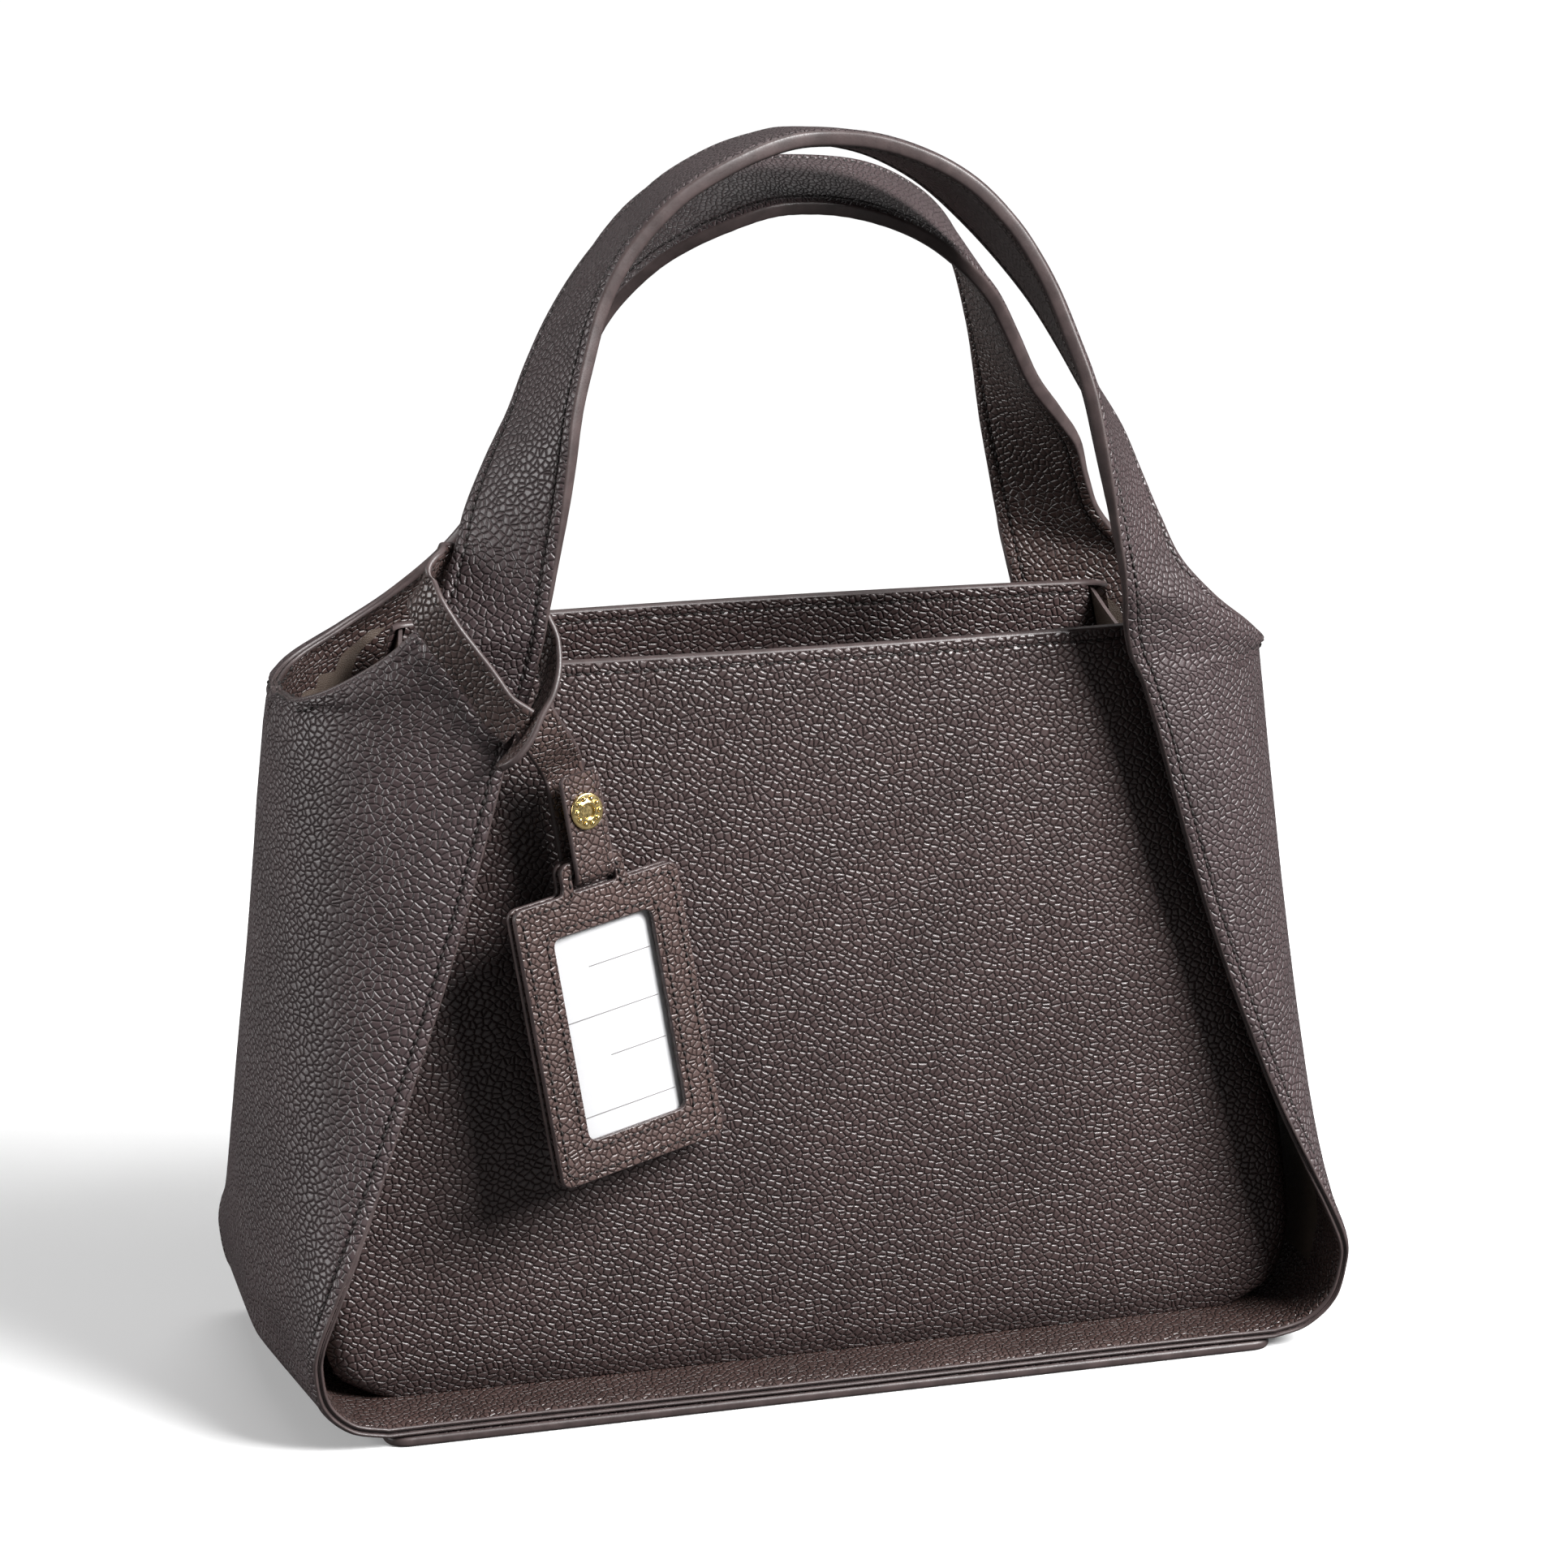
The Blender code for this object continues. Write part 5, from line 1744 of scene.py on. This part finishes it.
@dataclass
class Ribbon:
    """A leather strap swept along a line, with painted edges and a row of stitches at each."""

    palette: Palette
    width: float = 0.0130
    thickness: float = 0.0022
    seam: Seam = field(default_factory=lambda: Seam(0.0026, 0.0019, 0.00024))
    groove: Press = Press(0.00022, 0.0021, 0.0004)
    edge: Press = Press(0.00018, 0.0, 0.0006)
    columns: int = 13
    round_points: int = 6
    paint_in: float = 0.0004
    paint_out: float = 0.0008
    paint_thinner: float = 0.00014
    tip_end: float = 0.92
    profile_reach: float = 1.2
    least_inset: float = 0.0006
    shift: float = 0.05

    def profile(self, half: float) -> tuple[Array, Array]:
        """Cross-section of the strap.

        Args:
            half: half its width.

        Returns:
            (count, 2) points, anticlockwise from the lower left, and which are on a painted edge.
        """
        thin = self.thickness / 2
        flat_x = np.linspace(-1, 1, self.columns) * (half - self.paint_in)
        away = half - np.abs(flat_x)
        press = self.groove.at(away) + self.edge.at(away)
        side = np.linspace(-1, 1, self.round_points + 2)[1:-1] * math.pi / 2
        edge_x = half - self.paint_in + self.paint_out * np.cos(side)
        edge_y = (thin - self.paint_thinner) * np.sin(side)
        low = np.stack((flat_x, -(thin - press)), -1)
        right = np.stack((edge_x, edge_y), -1)
        high = np.stack((flat_x[::-1], (thin - press)[::-1]), -1)
        left = np.stack((-edge_x, -edge_y), -1)
        points = np.concatenate((low, right, high, left))
        painted = np.zeros(len(points), bool)
        painted[len(low) - 1 : len(low) + len(right)] = True
        painted[len(points) - len(left) - 1 :] = True
        return points, painted

    def build(
        self, name: str, centres: Array, edges: Array, tips: Span = (0.0, 0.0)
    ) -> list[Piece]:
        """Sweeps the strap.

        Args:
            name: its name.
            centres: (count, 3) line of its middle.
            edges: direction of one of its edges at each.
            tips: radius of its corners at its start and at its end.

        Returns:
            The strap and its stitches.
        """
        along = tangents(centres)
        up = unit(np.cross(along, edges))
        across = unit(np.cross(up, along))
        run = lengths(centres)
        half = self.width / 2
        halves = np.full(len(centres), half)
        for corner, distance in zip(tips, (run, run[-1] - run)):
            if corner:
                near = np.clip(1 - distance / corner, 0, self.tip_end)
                halves = np.minimum(halves, half - corner + corner * np.sqrt(1 - near**2))
        shape, painted = self.profile(half)
        share = np.clip(shape[:, 0] / half, -self.profile_reach, self.profile_reach)
        wide = share[None] * halves[:, None]
        points = (
            centres[:, None]
            + across[:, None] * wide[..., None]
            + up[:, None] * np.broadcast_to(shape[:, 1], wide.shape)[..., None]
        )
        flat = np.stack(np.meshgrid(lengths(shape), run), -1) + self.shift
        builder = MeshBuilder()
        builder.grid(points, flat, np.tile(painted.astype(int), len(centres) - 1), closed=True)
        count = len(shape)
        reach = self.round_points // 2
        low = np.arange(-reach, self.columns - 1 + reach)
        mate = count - self.round_points - 1 - low
        quads = np.stack((low, low + 1, mate - 1, mate), -1) % count
        for end in (0, -1):
            builder.add(points[end], quads, flat[end], 1)
        thread = MeshBuilder()
        inset = np.maximum(halves - self.groove.middle, self.least_inset)
        lift = self.thickness / 2 - self.edge.depth
        for hand in (-1, 1):
            for face in (-1, 1):
                line = centres + across * (hand * inset)[:, None] + up * face * lift
                self.seam.stitches(thread, line, up * face)
        return [
            builder.build(name, [self.palette.tag, self.palette.paint]),
            thread.build(name + "_stitches", [self.palette.thread]),
        ]


@dataclass
class Strap:
    """The strap of the tag: a loop round the leg, a tail that folds round the tag, and a tongue."""

    palette: Palette
    tag: TagPlace
    tail_top: tuple = (-0.0949, -0.0577, 0.2170)
    tail_leaves: tuple = (0.0060, -0.0010, -0.0110)
    tail_top_edge: tuple = (0.87, 0.00, 0.49)
    tail_straight: float = 0.0265
    tail_hold: float = 0.0060
    tail_turned: float = 0.7
    tongue_length: float = 0.0280
    thinner: float = 0.0020
    loop_tip: float = 0.0065
    tongue_tip: float = 0.0018
    loop_stops: int = 153
    loop_easing: int = 4
    curve_stops: int = 33
    straight_stops: int = 13
    fold_stops: int = 25
    tongue_stops: int = 49

    def loop(self) -> list[Piece]:
        """Builds the loop round the front left leg.

        Returns:
            The strap and its stitches.
        """
        stops = np.array(LOOP_SHARES) / SHARE
        table, leans = stops[:, :3] * SIZE, stops[:, 3:]
        places = np.linspace(0, len(table) - 1, self.loop_stops)
        centres = np.array([between(table, place) for place in places])
        known = np.arange(len(leans))
        edges = np.stack([np.interp(places, known, leans[:, axis]) for axis in range(3)], -1)
        edges = smoothed(edges, self.loop_easing)
        tips = (0.0, self.loop_tip)
        pieces = Ribbon(self.palette).build("tag_strap_loop", centres, edges, tips)
        return self.declared(pieces, "tote", "strap_loop")

    def tail(self) -> list[Piece]:
        """Builds the tail from the crossing down to the tag and round the fold.

        Returns:
            The strap and its stitches.
        """
        down, out, middle = self.tag.down, self.tag.out, self.tag.fold
        radius = self.tag.radius
        top = np.array(self.tail_top)
        low = middle - out * radius
        bend = low - down * self.tail_straight
        leaves = top + np.array(self.tail_leaves)
        holds = np.array((top, leaves, bend - down * self.tail_hold, bend))
        share = np.linspace(0, 1, self.curve_stops)[:, None]
        line = (
            holds[0] * (1 - share) ** 3
            + holds[1] * 3 * share * (1 - share) ** 2
            + holds[2] * 3 * share**2 * (1 - share)
            + holds[3] * share**3
        )
        first = np.array(self.tail_top_edge)
        turned = np.minimum(share / self.tail_turned, 1)
        edges = first * (1 - turned) + self.tag.sideways * turned
        straight = bend + (low - bend) * np.linspace(0, 1, self.straight_stops)[1:, None]
        angle = np.linspace(0, math.pi, self.fold_stops)[1:, None]
        fold = middle + down * radius * np.sin(angle) - out * radius * np.cos(angle)
        centres = np.concatenate((line, straight, fold))
        rest = np.broadcast_to(self.tag.sideways, (len(centres) - len(edges), 3))
        ribbon = Ribbon(self.palette, thickness=self.thinner)
        pieces = ribbon.build("tag_strap_tail", centres, np.concatenate((edges, rest)))
        return self.declared(pieces, "tag", "strap_tail")

    def tongue(self) -> list[Piece]:
        """Builds the tongue that rises in front of the tag and snaps to the tail.

        Returns:
            The strap and its stitches.
        """
        foot = self.tag.fold + self.tag.out * self.tag.radius
        reach = self.tongue_length * np.linspace(0.0, 1, self.tongue_stops)[:, None]
        centres = foot - self.tag.down * reach
        edges = np.broadcast_to(self.tag.sideways, centres.shape)
        ribbon = Ribbon(self.palette, thickness=self.thinner)
        tips = (0.0, self.tongue_tip)
        pieces = ribbon.build("tag_strap_tongue", centres, edges, tips)
        return self.declared(pieces, "snap_tongue", "snap_tongue")

    @staticmethod
    def declared(pieces: list[Piece], body: str, node: str) -> list[Piece]:
        """Declares a strap, which replaces a node, and its stitches."""
        strap, stitches = pieces
        declare(strap, body, [node])
        declare(stitches, body)
        return pieces

    def build(self) -> list[Piece]:
        """Builds the whole strap."""
        return self.loop() + self.tail() + self.tongue()


@dataclass
class Snap:
    """The snap fastener: a cap and socket on the tongue, a stud and back plate on the tail."""

    palette: Palette
    tag: TagPlace
    radius: float = 0.0054
    thickness: float = 0.0013
    height: float = 0.60 * 0.0280
    steps: int = 56
    beads: int = 10
    bead_circle: float = 0.0038
    bead_size: float = 0.00078
    bead_rows: int = 6
    bead_sides: int = 12
    bead_foot: float = 0.6
    bead_pinch: float = 0.02
    cap_gap: float = 0.0002
    cap_round: float = 0.0005
    lip_radius: float = 0.0025
    lip_round: float = 0.0004
    lip_step: float = 0.0001
    rim_rise: float = 0.0003
    well: float = 0.0004
    slope: tuple = ((0.0013, 0.00085), (0.0019, 0.0008))
    bead_level: float = 0.00086
    disc_round: float = 0.4
    stud_radius: float = 0.0040
    stud_height: float = 0.0020
    plate_height: float = 0.0009
    axis_radius: float = 1e-7

    def turned(self, name: str, profile: Sequence[tuple], middle: Array, axis: Array) -> Piece:
        """Turns a closed solid.

        Args:
            name: its name.
            profile: (radius, height) points from the axis back to it.
            middle: foot of the axis.
            axis: its direction.

        Returns:
            The solid.
        """
        frame = np.array(Vector(axis).to_track_quat("Z", "Y").to_matrix())
        shape = np.array(profile)
        angle = np.linspace(0, math.tau, self.steps, endpoint=False)
        local = self.spun(np.maximum(shape[:, 0], self.axis_radius), shape[:, 1], angle)
        points = middle + local @ frame.T
        flat = np.stack(np.meshgrid(angle * self.radius, lengths(shape)), -1)
        builder = MeshBuilder()
        builder.grid(points, flat, closed=True)
        return builder.build(name, [self.palette.gold])

    @staticmethod
    def spun(radii: Array, heights: Array, angles: Array) -> Array:
        """Points of a profile turned about Z."""
        rings = [radii[:, None] * turn(angles) for turn in (np.cos, np.sin)]
        return np.stack((*rings, np.broadcast_to(heights[:, None], rings[0].shape)), -1)

    def ring_of_beads(self, middle: Array, axis: Array) -> Piece:
        """Builds small beads on the cap round its open centre.

        Args:
            middle: middle of their ring.
            axis: the snap's direction.

        Returns:
            The beads.
        """
        frame = np.array(Vector(axis).to_track_quat("Z", "Y").to_matrix())
        rise = np.linspace(0, math.pi / 2, self.bead_rows)
        turn = np.linspace(0, math.tau, self.bead_sides, endpoint=False)
        builder = MeshBuilder()
        dome = self.spun(np.cos(rise), np.sin(rise), turn)
        foot = dome[:1] * np.array((1.0, 1.0, 0.0)) - np.array((0.0, 0.0, self.bead_foot))
        closed = foot * np.array((self.bead_pinch, self.bead_pinch, 1.0))
        dome = np.concatenate((closed, foot, dome))
        flat = np.zeros((*dome.shape[:2], 2))
        for angle in np.linspace(0, math.tau, self.beads, endpoint=False):
            centre = np.array((math.cos(angle), math.sin(angle), 0.0)) * self.bead_circle
            local = (centre + dome * self.bead_size) @ frame.T
            builder.grid(middle + local, flat, closed=True)
        return builder.build("snap_cap_beads", [self.palette.gold])

    def cap(self) -> list[tuple]:
        """Profile of the cap: a rounded rim, a slope in to a lip, and a well in the middle."""
        edge, top = self.radius, self.thickness
        soft, lip, rise = self.cap_round, self.lip_round, self.rim_rise
        bend = [(math.cos(angle), math.sin(angle)) for angle in np.linspace(0, math.pi / 2, 7)]
        rim = [(edge - soft + soft * x, rise + soft * y) for x, y in bend]
        slope = [(edge - inwards, height) for inwards, height in self.slope]
        slope.append((self.lip_radius + soft, top - self.lip_step))
        crest = [(self.lip_radius - lip * y, top - lip + lip * x) for x, y in bend]
        well = [(self.lip_radius - lip, self.well), (0.0, self.well)]
        return [(0.0, 0.0), (edge, 0.0), *rim, *slope, *crest, *well]

    def build(self) -> list[Piece]:
        """Builds the four parts and the ring of beads.

        Returns:
            The pieces.
        """
        spot = self.tag.fold - self.tag.down * self.height
        radius, half, out = self.tag.radius, self.tag.strap_thickness / 2, self.tag.out
        front = spot + out * (radius + half + self.cap_gap)
        inner, outer = radius - half - FIT, radius + half + FIT
        disc = self.disc(self.stud_radius, self.stud_height)
        plate = self.disc(self.radius, self.plate_height)
        cap = self.turned("snap_cap_shell", self.cap(), front, out)
        beads = self.ring_of_beads(front + out * self.bead_level, out)
        pieces = [declare(cap, "snap_tongue", ["snap_cap"])]
        pieces.append(declare(beads, "snap_tongue"))
        for name, profile, middle, axis, body, node in (
            ("snap_socket_shell", disc, spot + out * inner, -out, "snap_tongue", "snap_socket"),
            ("snap_stud_shell", disc, spot - out * inner, out, "tag", "snap_stud"),
            ("snap_back_plate", plate, spot - out * outer, -out, "tag", "snap_back"),
        ):
            made = self.turned(name, profile, middle, axis)
            pieces.append(declare(made, body, [node]))
        return pieces

    def disc(self, radius: float, height: float) -> list[tuple]:
        """Profile of a disc with a rounded rim."""
        soft = min(height, radius) * self.disc_round
        bend = np.linspace(0, math.pi / 2, 6)
        rim = [
            (radius - soft + soft * math.cos(angle), height - soft + soft * math.sin(angle))
            for angle in bend
        ]
        return [(0.0, 0.0), (radius, 0.0), *rim, (0.0, height)]


@dataclass
class Tag:
    """Two leather plies with a clear film and a paper card held between them."""

    palette: Palette
    tag: TagPlace
    width: float = 0.0580
    height: float = 0.0845
    border: float = 0.0116
    corner: float = 0.0030
    bevel: float = 0.0005
    sheet_bevel: float = 0.0001
    tab_width: float = 0.0220
    tab_height: float = 0.0090
    tab_corner: float = 0.0035
    slot_width: float = 0.0150
    slot_height: float = 0.0052
    slot_above_body: float = 0.0026
    window_corner: float = 0.0035
    window_lip: float = 0.0030
    seam_in: float = 0.0024
    seam: Seam = field(default_factory=lambda: Seam(0.0026, 0.0019, 0.00036, 0.00004))
    line_shares: tuple = (
        ((0.81, 0.34, 0.97), (0.57, 0.02, 0.97))
        + ((0.36, 0.40, 0.97), (0.10, 0.02, 0.97))
    )
    line_half: float = 0.00015
    line_rise: float = 0.00002

    def outline(self, inset: float) -> Array:
        """The tag's rim with its tab, moved inwards by `inset`."""
        half = self.width / 2 - inset
        tab = self.tab_width / 2 - inset
        top = -self.slot_above_body - inset
        low = -self.slot_above_body - self.height + inset
        high = -self.slot_above_body + self.tab_height - inset
        right = [(half, low), (half, top), (tab, top), (tab, high)]
        left = [(-x, y) for x, y in right]
        corners = [left[0], *right, *left[:0:-1]]
        big, small = self.tab_corner, self.corner
        return rounded(corners, [small, small, small, small, big, big, small, small], 8)

    def window(self, grow: float) -> Array:
        """The window's outline, made larger all round by `grow`."""
        half_x, half_y, middle = self.opening
        rim = box_outline(half_x + grow, half_y + grow, self.window_corner)
        return rim + np.array((0.0, middle))

    @property
    def opening(self) -> tuple[float, float, float]:
        """Half the window's width, half its height and the height of its middle."""
        middle = -self.slot_above_body - self.height / 2
        return self.width / 2 - self.border, self.height / 2 - self.border, middle

    def slot(self, grow: float) -> Array:
        """The slot's outline, made larger all round by `grow`."""
        half_x, half_y = self.slot_width / 2 + grow, self.slot_height / 2 + grow
        return box_outline(half_x, half_y, self.slot_height / 3)

    def at(self, level: float) -> Matrix:
        """The place of a plate whose middle is `level` in front of the tag's middle."""
        return self.tag.matrix @ Matrix.Translation((0.0, 0.0, level))

    def build(self) -> list[Piece]:
        """Builds the plies, the film, the card with its ruled lines, and the stitches.

        Returns:
            The pieces.
        """
        front_ply, back_ply, sheet = self.tag.front_ply, self.tag.back_ply, self.tag.sheet
        half = self.tag.stack / 2
        inside = half - front_ply - FIT
        card_level = inside - sheet - FIT - sheet / 2
        rim, slot, pane = (cut(self.bevel) for cut in (self.outline, self.slot, self.window))
        held = self.window(self.window_lip - self.sheet_bevel)
        face = Plate(front_ply, self.bevel), half - front_ply / 2, rim, [slot, pane]
        rear = Plate(back_ply, self.bevel), -half + back_ply / 2, rim, [slot]
        film = Plate(sheet, self.sheet_bevel, 1), inside - sheet / 2, held, []
        card = Plate(sheet, self.sheet_bevel, 1), card_level, held, []
        leather = [self.palette.tag, self.palette.paint]
        pieces = []
        for name, sizes, materials, slot_name, node, body in (
            ("tag_face", face, leather, "leather_outer", "tag_front", "tag"),
            ("tag_rear", rear, leather, "leather_outer", "tag_back", "tag"),
            ("tag_window", film, [self.palette.film], "film", "tag_film", "tag"),
            ("tag_paper", card, [self.palette.paper], "paper", "tag_card", "tag_card"),
        ):
            plate, level, outline, holes = sizes
            made = plate.build(name, outline, holes, self.at(level), materials)
            pieces.append(declare(made, body, [node]))
        pieces.append(declare(self.lines(card_level + sheet / 2), "tag_card"))
        pieces.append(declare(self.stitches(half), "tag"))
        return pieces

    def lines(self, level: float) -> Piece:
        """Builds the four ruled lines of the card.

        Args:
            level: height of the card's face in the tag.

        Returns:
            The lines.
        """
        half_x, half_y, middle = self.opening
        builder = MeshBuilder()
        frame = np.array(self.tag.matrix)
        flat = np.zeros((2, 4, 2))
        for height, *ends in self.line_shares:
            y = middle - half_y + 2 * half_y * height
            low, high = y - self.line_half, y + self.line_half
            under, over = level - self.line_rise, level + self.line_rise
            section = ((low, under), (high, under), (high, over), (low, over))
            grid = np.array(
                [[(-half_x + 2 * half_x * end, *spot) for spot in section] for end in ends]
            )
            points = grid @ frame[:3, :3].T + frame[:3, 3]
            builder.grid(points, flat, closed=True)
            for ring in points:
                builder.add(ring, np.array([[0, 1, 2, 3]]), flat[0])
        return builder.build("card_lines", [self.palette.ink])

    def stitches(self, half: float) -> Piece:
        """Builds stitches round the rim on both faces, and round the window on the front.

        Args:
            half: distance of both faces from the tag's middle.

        Returns:
            The stitches.
        """
        frame = np.array(self.tag.matrix)
        builder = MeshBuilder()
        rim, window = self.outline(self.seam_in), self.window(self.seam_in)
        for outline, sign in ((rim, 1), (window, 1), (rim, -1)):
            ring = np.concatenate((outline, outline[:1]))
            local = np.concatenate((ring, np.full((len(ring), 1), sign * half)), 1)
            points = local @ frame[:3, :3].T + frame[:3, 3]
            normals = np.broadcast_to(frame[:3, 2] * sign, points.shape)
            self.seam.stitches(builder, points, normals)
        return builder.build("tag_stitches", [self.palette.thread])


# -------- floor, light and camera


@dataclass
class Studio:
    """A plain pale floor, soft light and the photograph's camera."""

    focal: float = 111.80
    floor_half: float = 6.0
    eye: tuple = (-0.44698, -1.36826, 0.54185)
    right: tuple = (0.95096137, -0.30923934, 0.00659642)
    up: tuple = (0.07020129, 0.23655193, 0.96907944)
    forward: tuple = (0.30123788, 0.92109403, -0.24666075)
    sensor: float = 36.0
    clip: Span = (0.05, 40.0)
    white: float = 0.92
    floor_rough: float = 0.9
    floor_gloss: float = 0.1
    glow: float = 1.05
    glow_from: Span = (0.6, 1.6)
    glow_share: Span = (0.12, 1.0)
    sky: float = 0.115
    bounce: float = 0.10
    aim: tuple = (0.0, 0.0, 0.16)
    lamps: tuple = (
        ("key", (1.45, -1.45, 1.8), 1.3, 188.0),
        ("left", (-2.3, 0.5, 0.8), 1.5, 48.0),
        ("top", (0.2, 0.9, 2.3), 1.6, 16.0),
    )

    @staticmethod
    def hang(name: str, data: Any) -> Piece:
        """Makes an object and links it to the scene."""
        made = bpy.data.objects.new(name, data)
        bpy.context.scene.collection.objects.link(made)
        return made

    def camera(self) -> None:
        """Places the camera."""
        data = bpy.data.cameras.new("camera")
        data.lens = self.focal
        data.sensor_width = self.sensor
        data.clip_start, data.clip_end = self.clip
        back = [-part for part in self.forward]
        rows = zip(self.right, self.up, back, self.eye)
        made = self.hang("camera", data)
        made.matrix_world = Matrix((*rows, (0.0, 0.0, 0.0, 1.0)))
        bpy.context.scene.camera = made

    def floor(self) -> None:
        """Lays the floor, which is white and keeps the shadow."""
        low, high = -self.floor_half, self.floor_half
        corners = [(low, low, 0), (high, low, 0), (high, high, 0), (low, high, 0)]
        mesh = bpy.data.meshes.new("floor")
        mesh.from_pydata(corners, [], [(0, 1, 2, 3)])
        material = bpy.data.materials.new("floor_paint")
        material.use_nodes = True
        graph = Graph(material.node_tree)
        graph.put("Base Color", rgba((self.white,) * 3))
        graph.put("Roughness", self.floor_rough)
        graph.put("Specular IOR Level", self.floor_gloss)
        inputs = {0: graph.place("Object")}
        distance = graph.node("ShaderNodeVectorMath", inputs, operation="LENGTH")
        far = graph.remap(distance.outputs["Value"], *self.glow_from, self.glow_share)
        glow = graph.node("ShaderNodeEmission", {"Strength": self.glow})
        dim = graph.node("ShaderNodeBsdfDiffuse", {"Color": rgba((self.bounce,) * 3)})
        painted = graph.tree.nodes["Principled BSDF"].outputs[0]
        seen = graph.mixed(far, painted, glow.outputs[0])
        camera = graph.node("ShaderNodeLightPath", {}).outputs["Is Camera Ray"]
        graph.show(graph.mixed(camera, dim.outputs[0], seen))
        mesh.materials.append(material)
        self.hang("floor", mesh)

    def lamp(self, name: str, place: Sequence[float], size: float, power: float) -> None:
        """Hangs a square soft light that faces the bag.

        Args:
            name: its name.
            place: where it hangs.
            size: its side.
            power: its power in watts.
        """
        data = bpy.data.lights.new(name, "AREA")
        data.size = size
        data.energy = power
        made = self.hang(name, data)
        made.location = place
        aim = Vector(self.aim) - Vector(place)
        made.rotation_euler = aim.to_track_quat("-Z", "Y").to_euler()

    def world(self) -> None:
        """Fills the room with even light; the camera sees white."""
        scene = bpy.context.scene
        scene.world = bpy.data.worlds.new("room")
        scene.world.use_nodes = True
        graph = Graph(scene.world.node_tree)
        white = rgba((1.0, 1.0, 1.0))
        lit = graph.tree.nodes["Background"]
        graph.feed(lit.inputs["Color"], white)
        graph.feed(lit.inputs["Strength"], self.sky)
        seen = graph.node("ShaderNodeBackground", {"Color": white, "Strength": 1.0})
        camera = graph.node("ShaderNodeLightPath", {}).outputs["Is Camera Ray"]
        graph.show(graph.mixed(camera, lit.outputs[0], seen.outputs[0]))
        scene.view_settings.view_transform = "Standard"

    def build(self) -> None:
        """Sets up the whole studio."""
        self.floor()
        self.world()
        for lamp in self.lamps:
            self.lamp(*lamp)
        self.camera()


def main() -> None:
    """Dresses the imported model."""
    logging.basicConfig(level=logging.INFO, format="%(name)s: %(message)s")
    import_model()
    palette = Palette()
    tag = TagPlace()
    makers: list[tuple[str, Callable[[], list[Piece]]]] = [
        ("wrap", Wrap(palette).build),
        ("pouch", Pouch(palette).build),
        ("base", Base(palette).build),
        ("strap", Strap(palette, tag).build),
        ("snap", Snap(palette, tag).build),
        ("tag", Tag(palette, tag).build),
    ]
    for name, build in makers:
        for piece in build():
            LOG.info("%s: %s has %d faces", name, piece.name, len(piece.data.polygons))
    Studio().build()


if __name__ == "__main__":
    main()
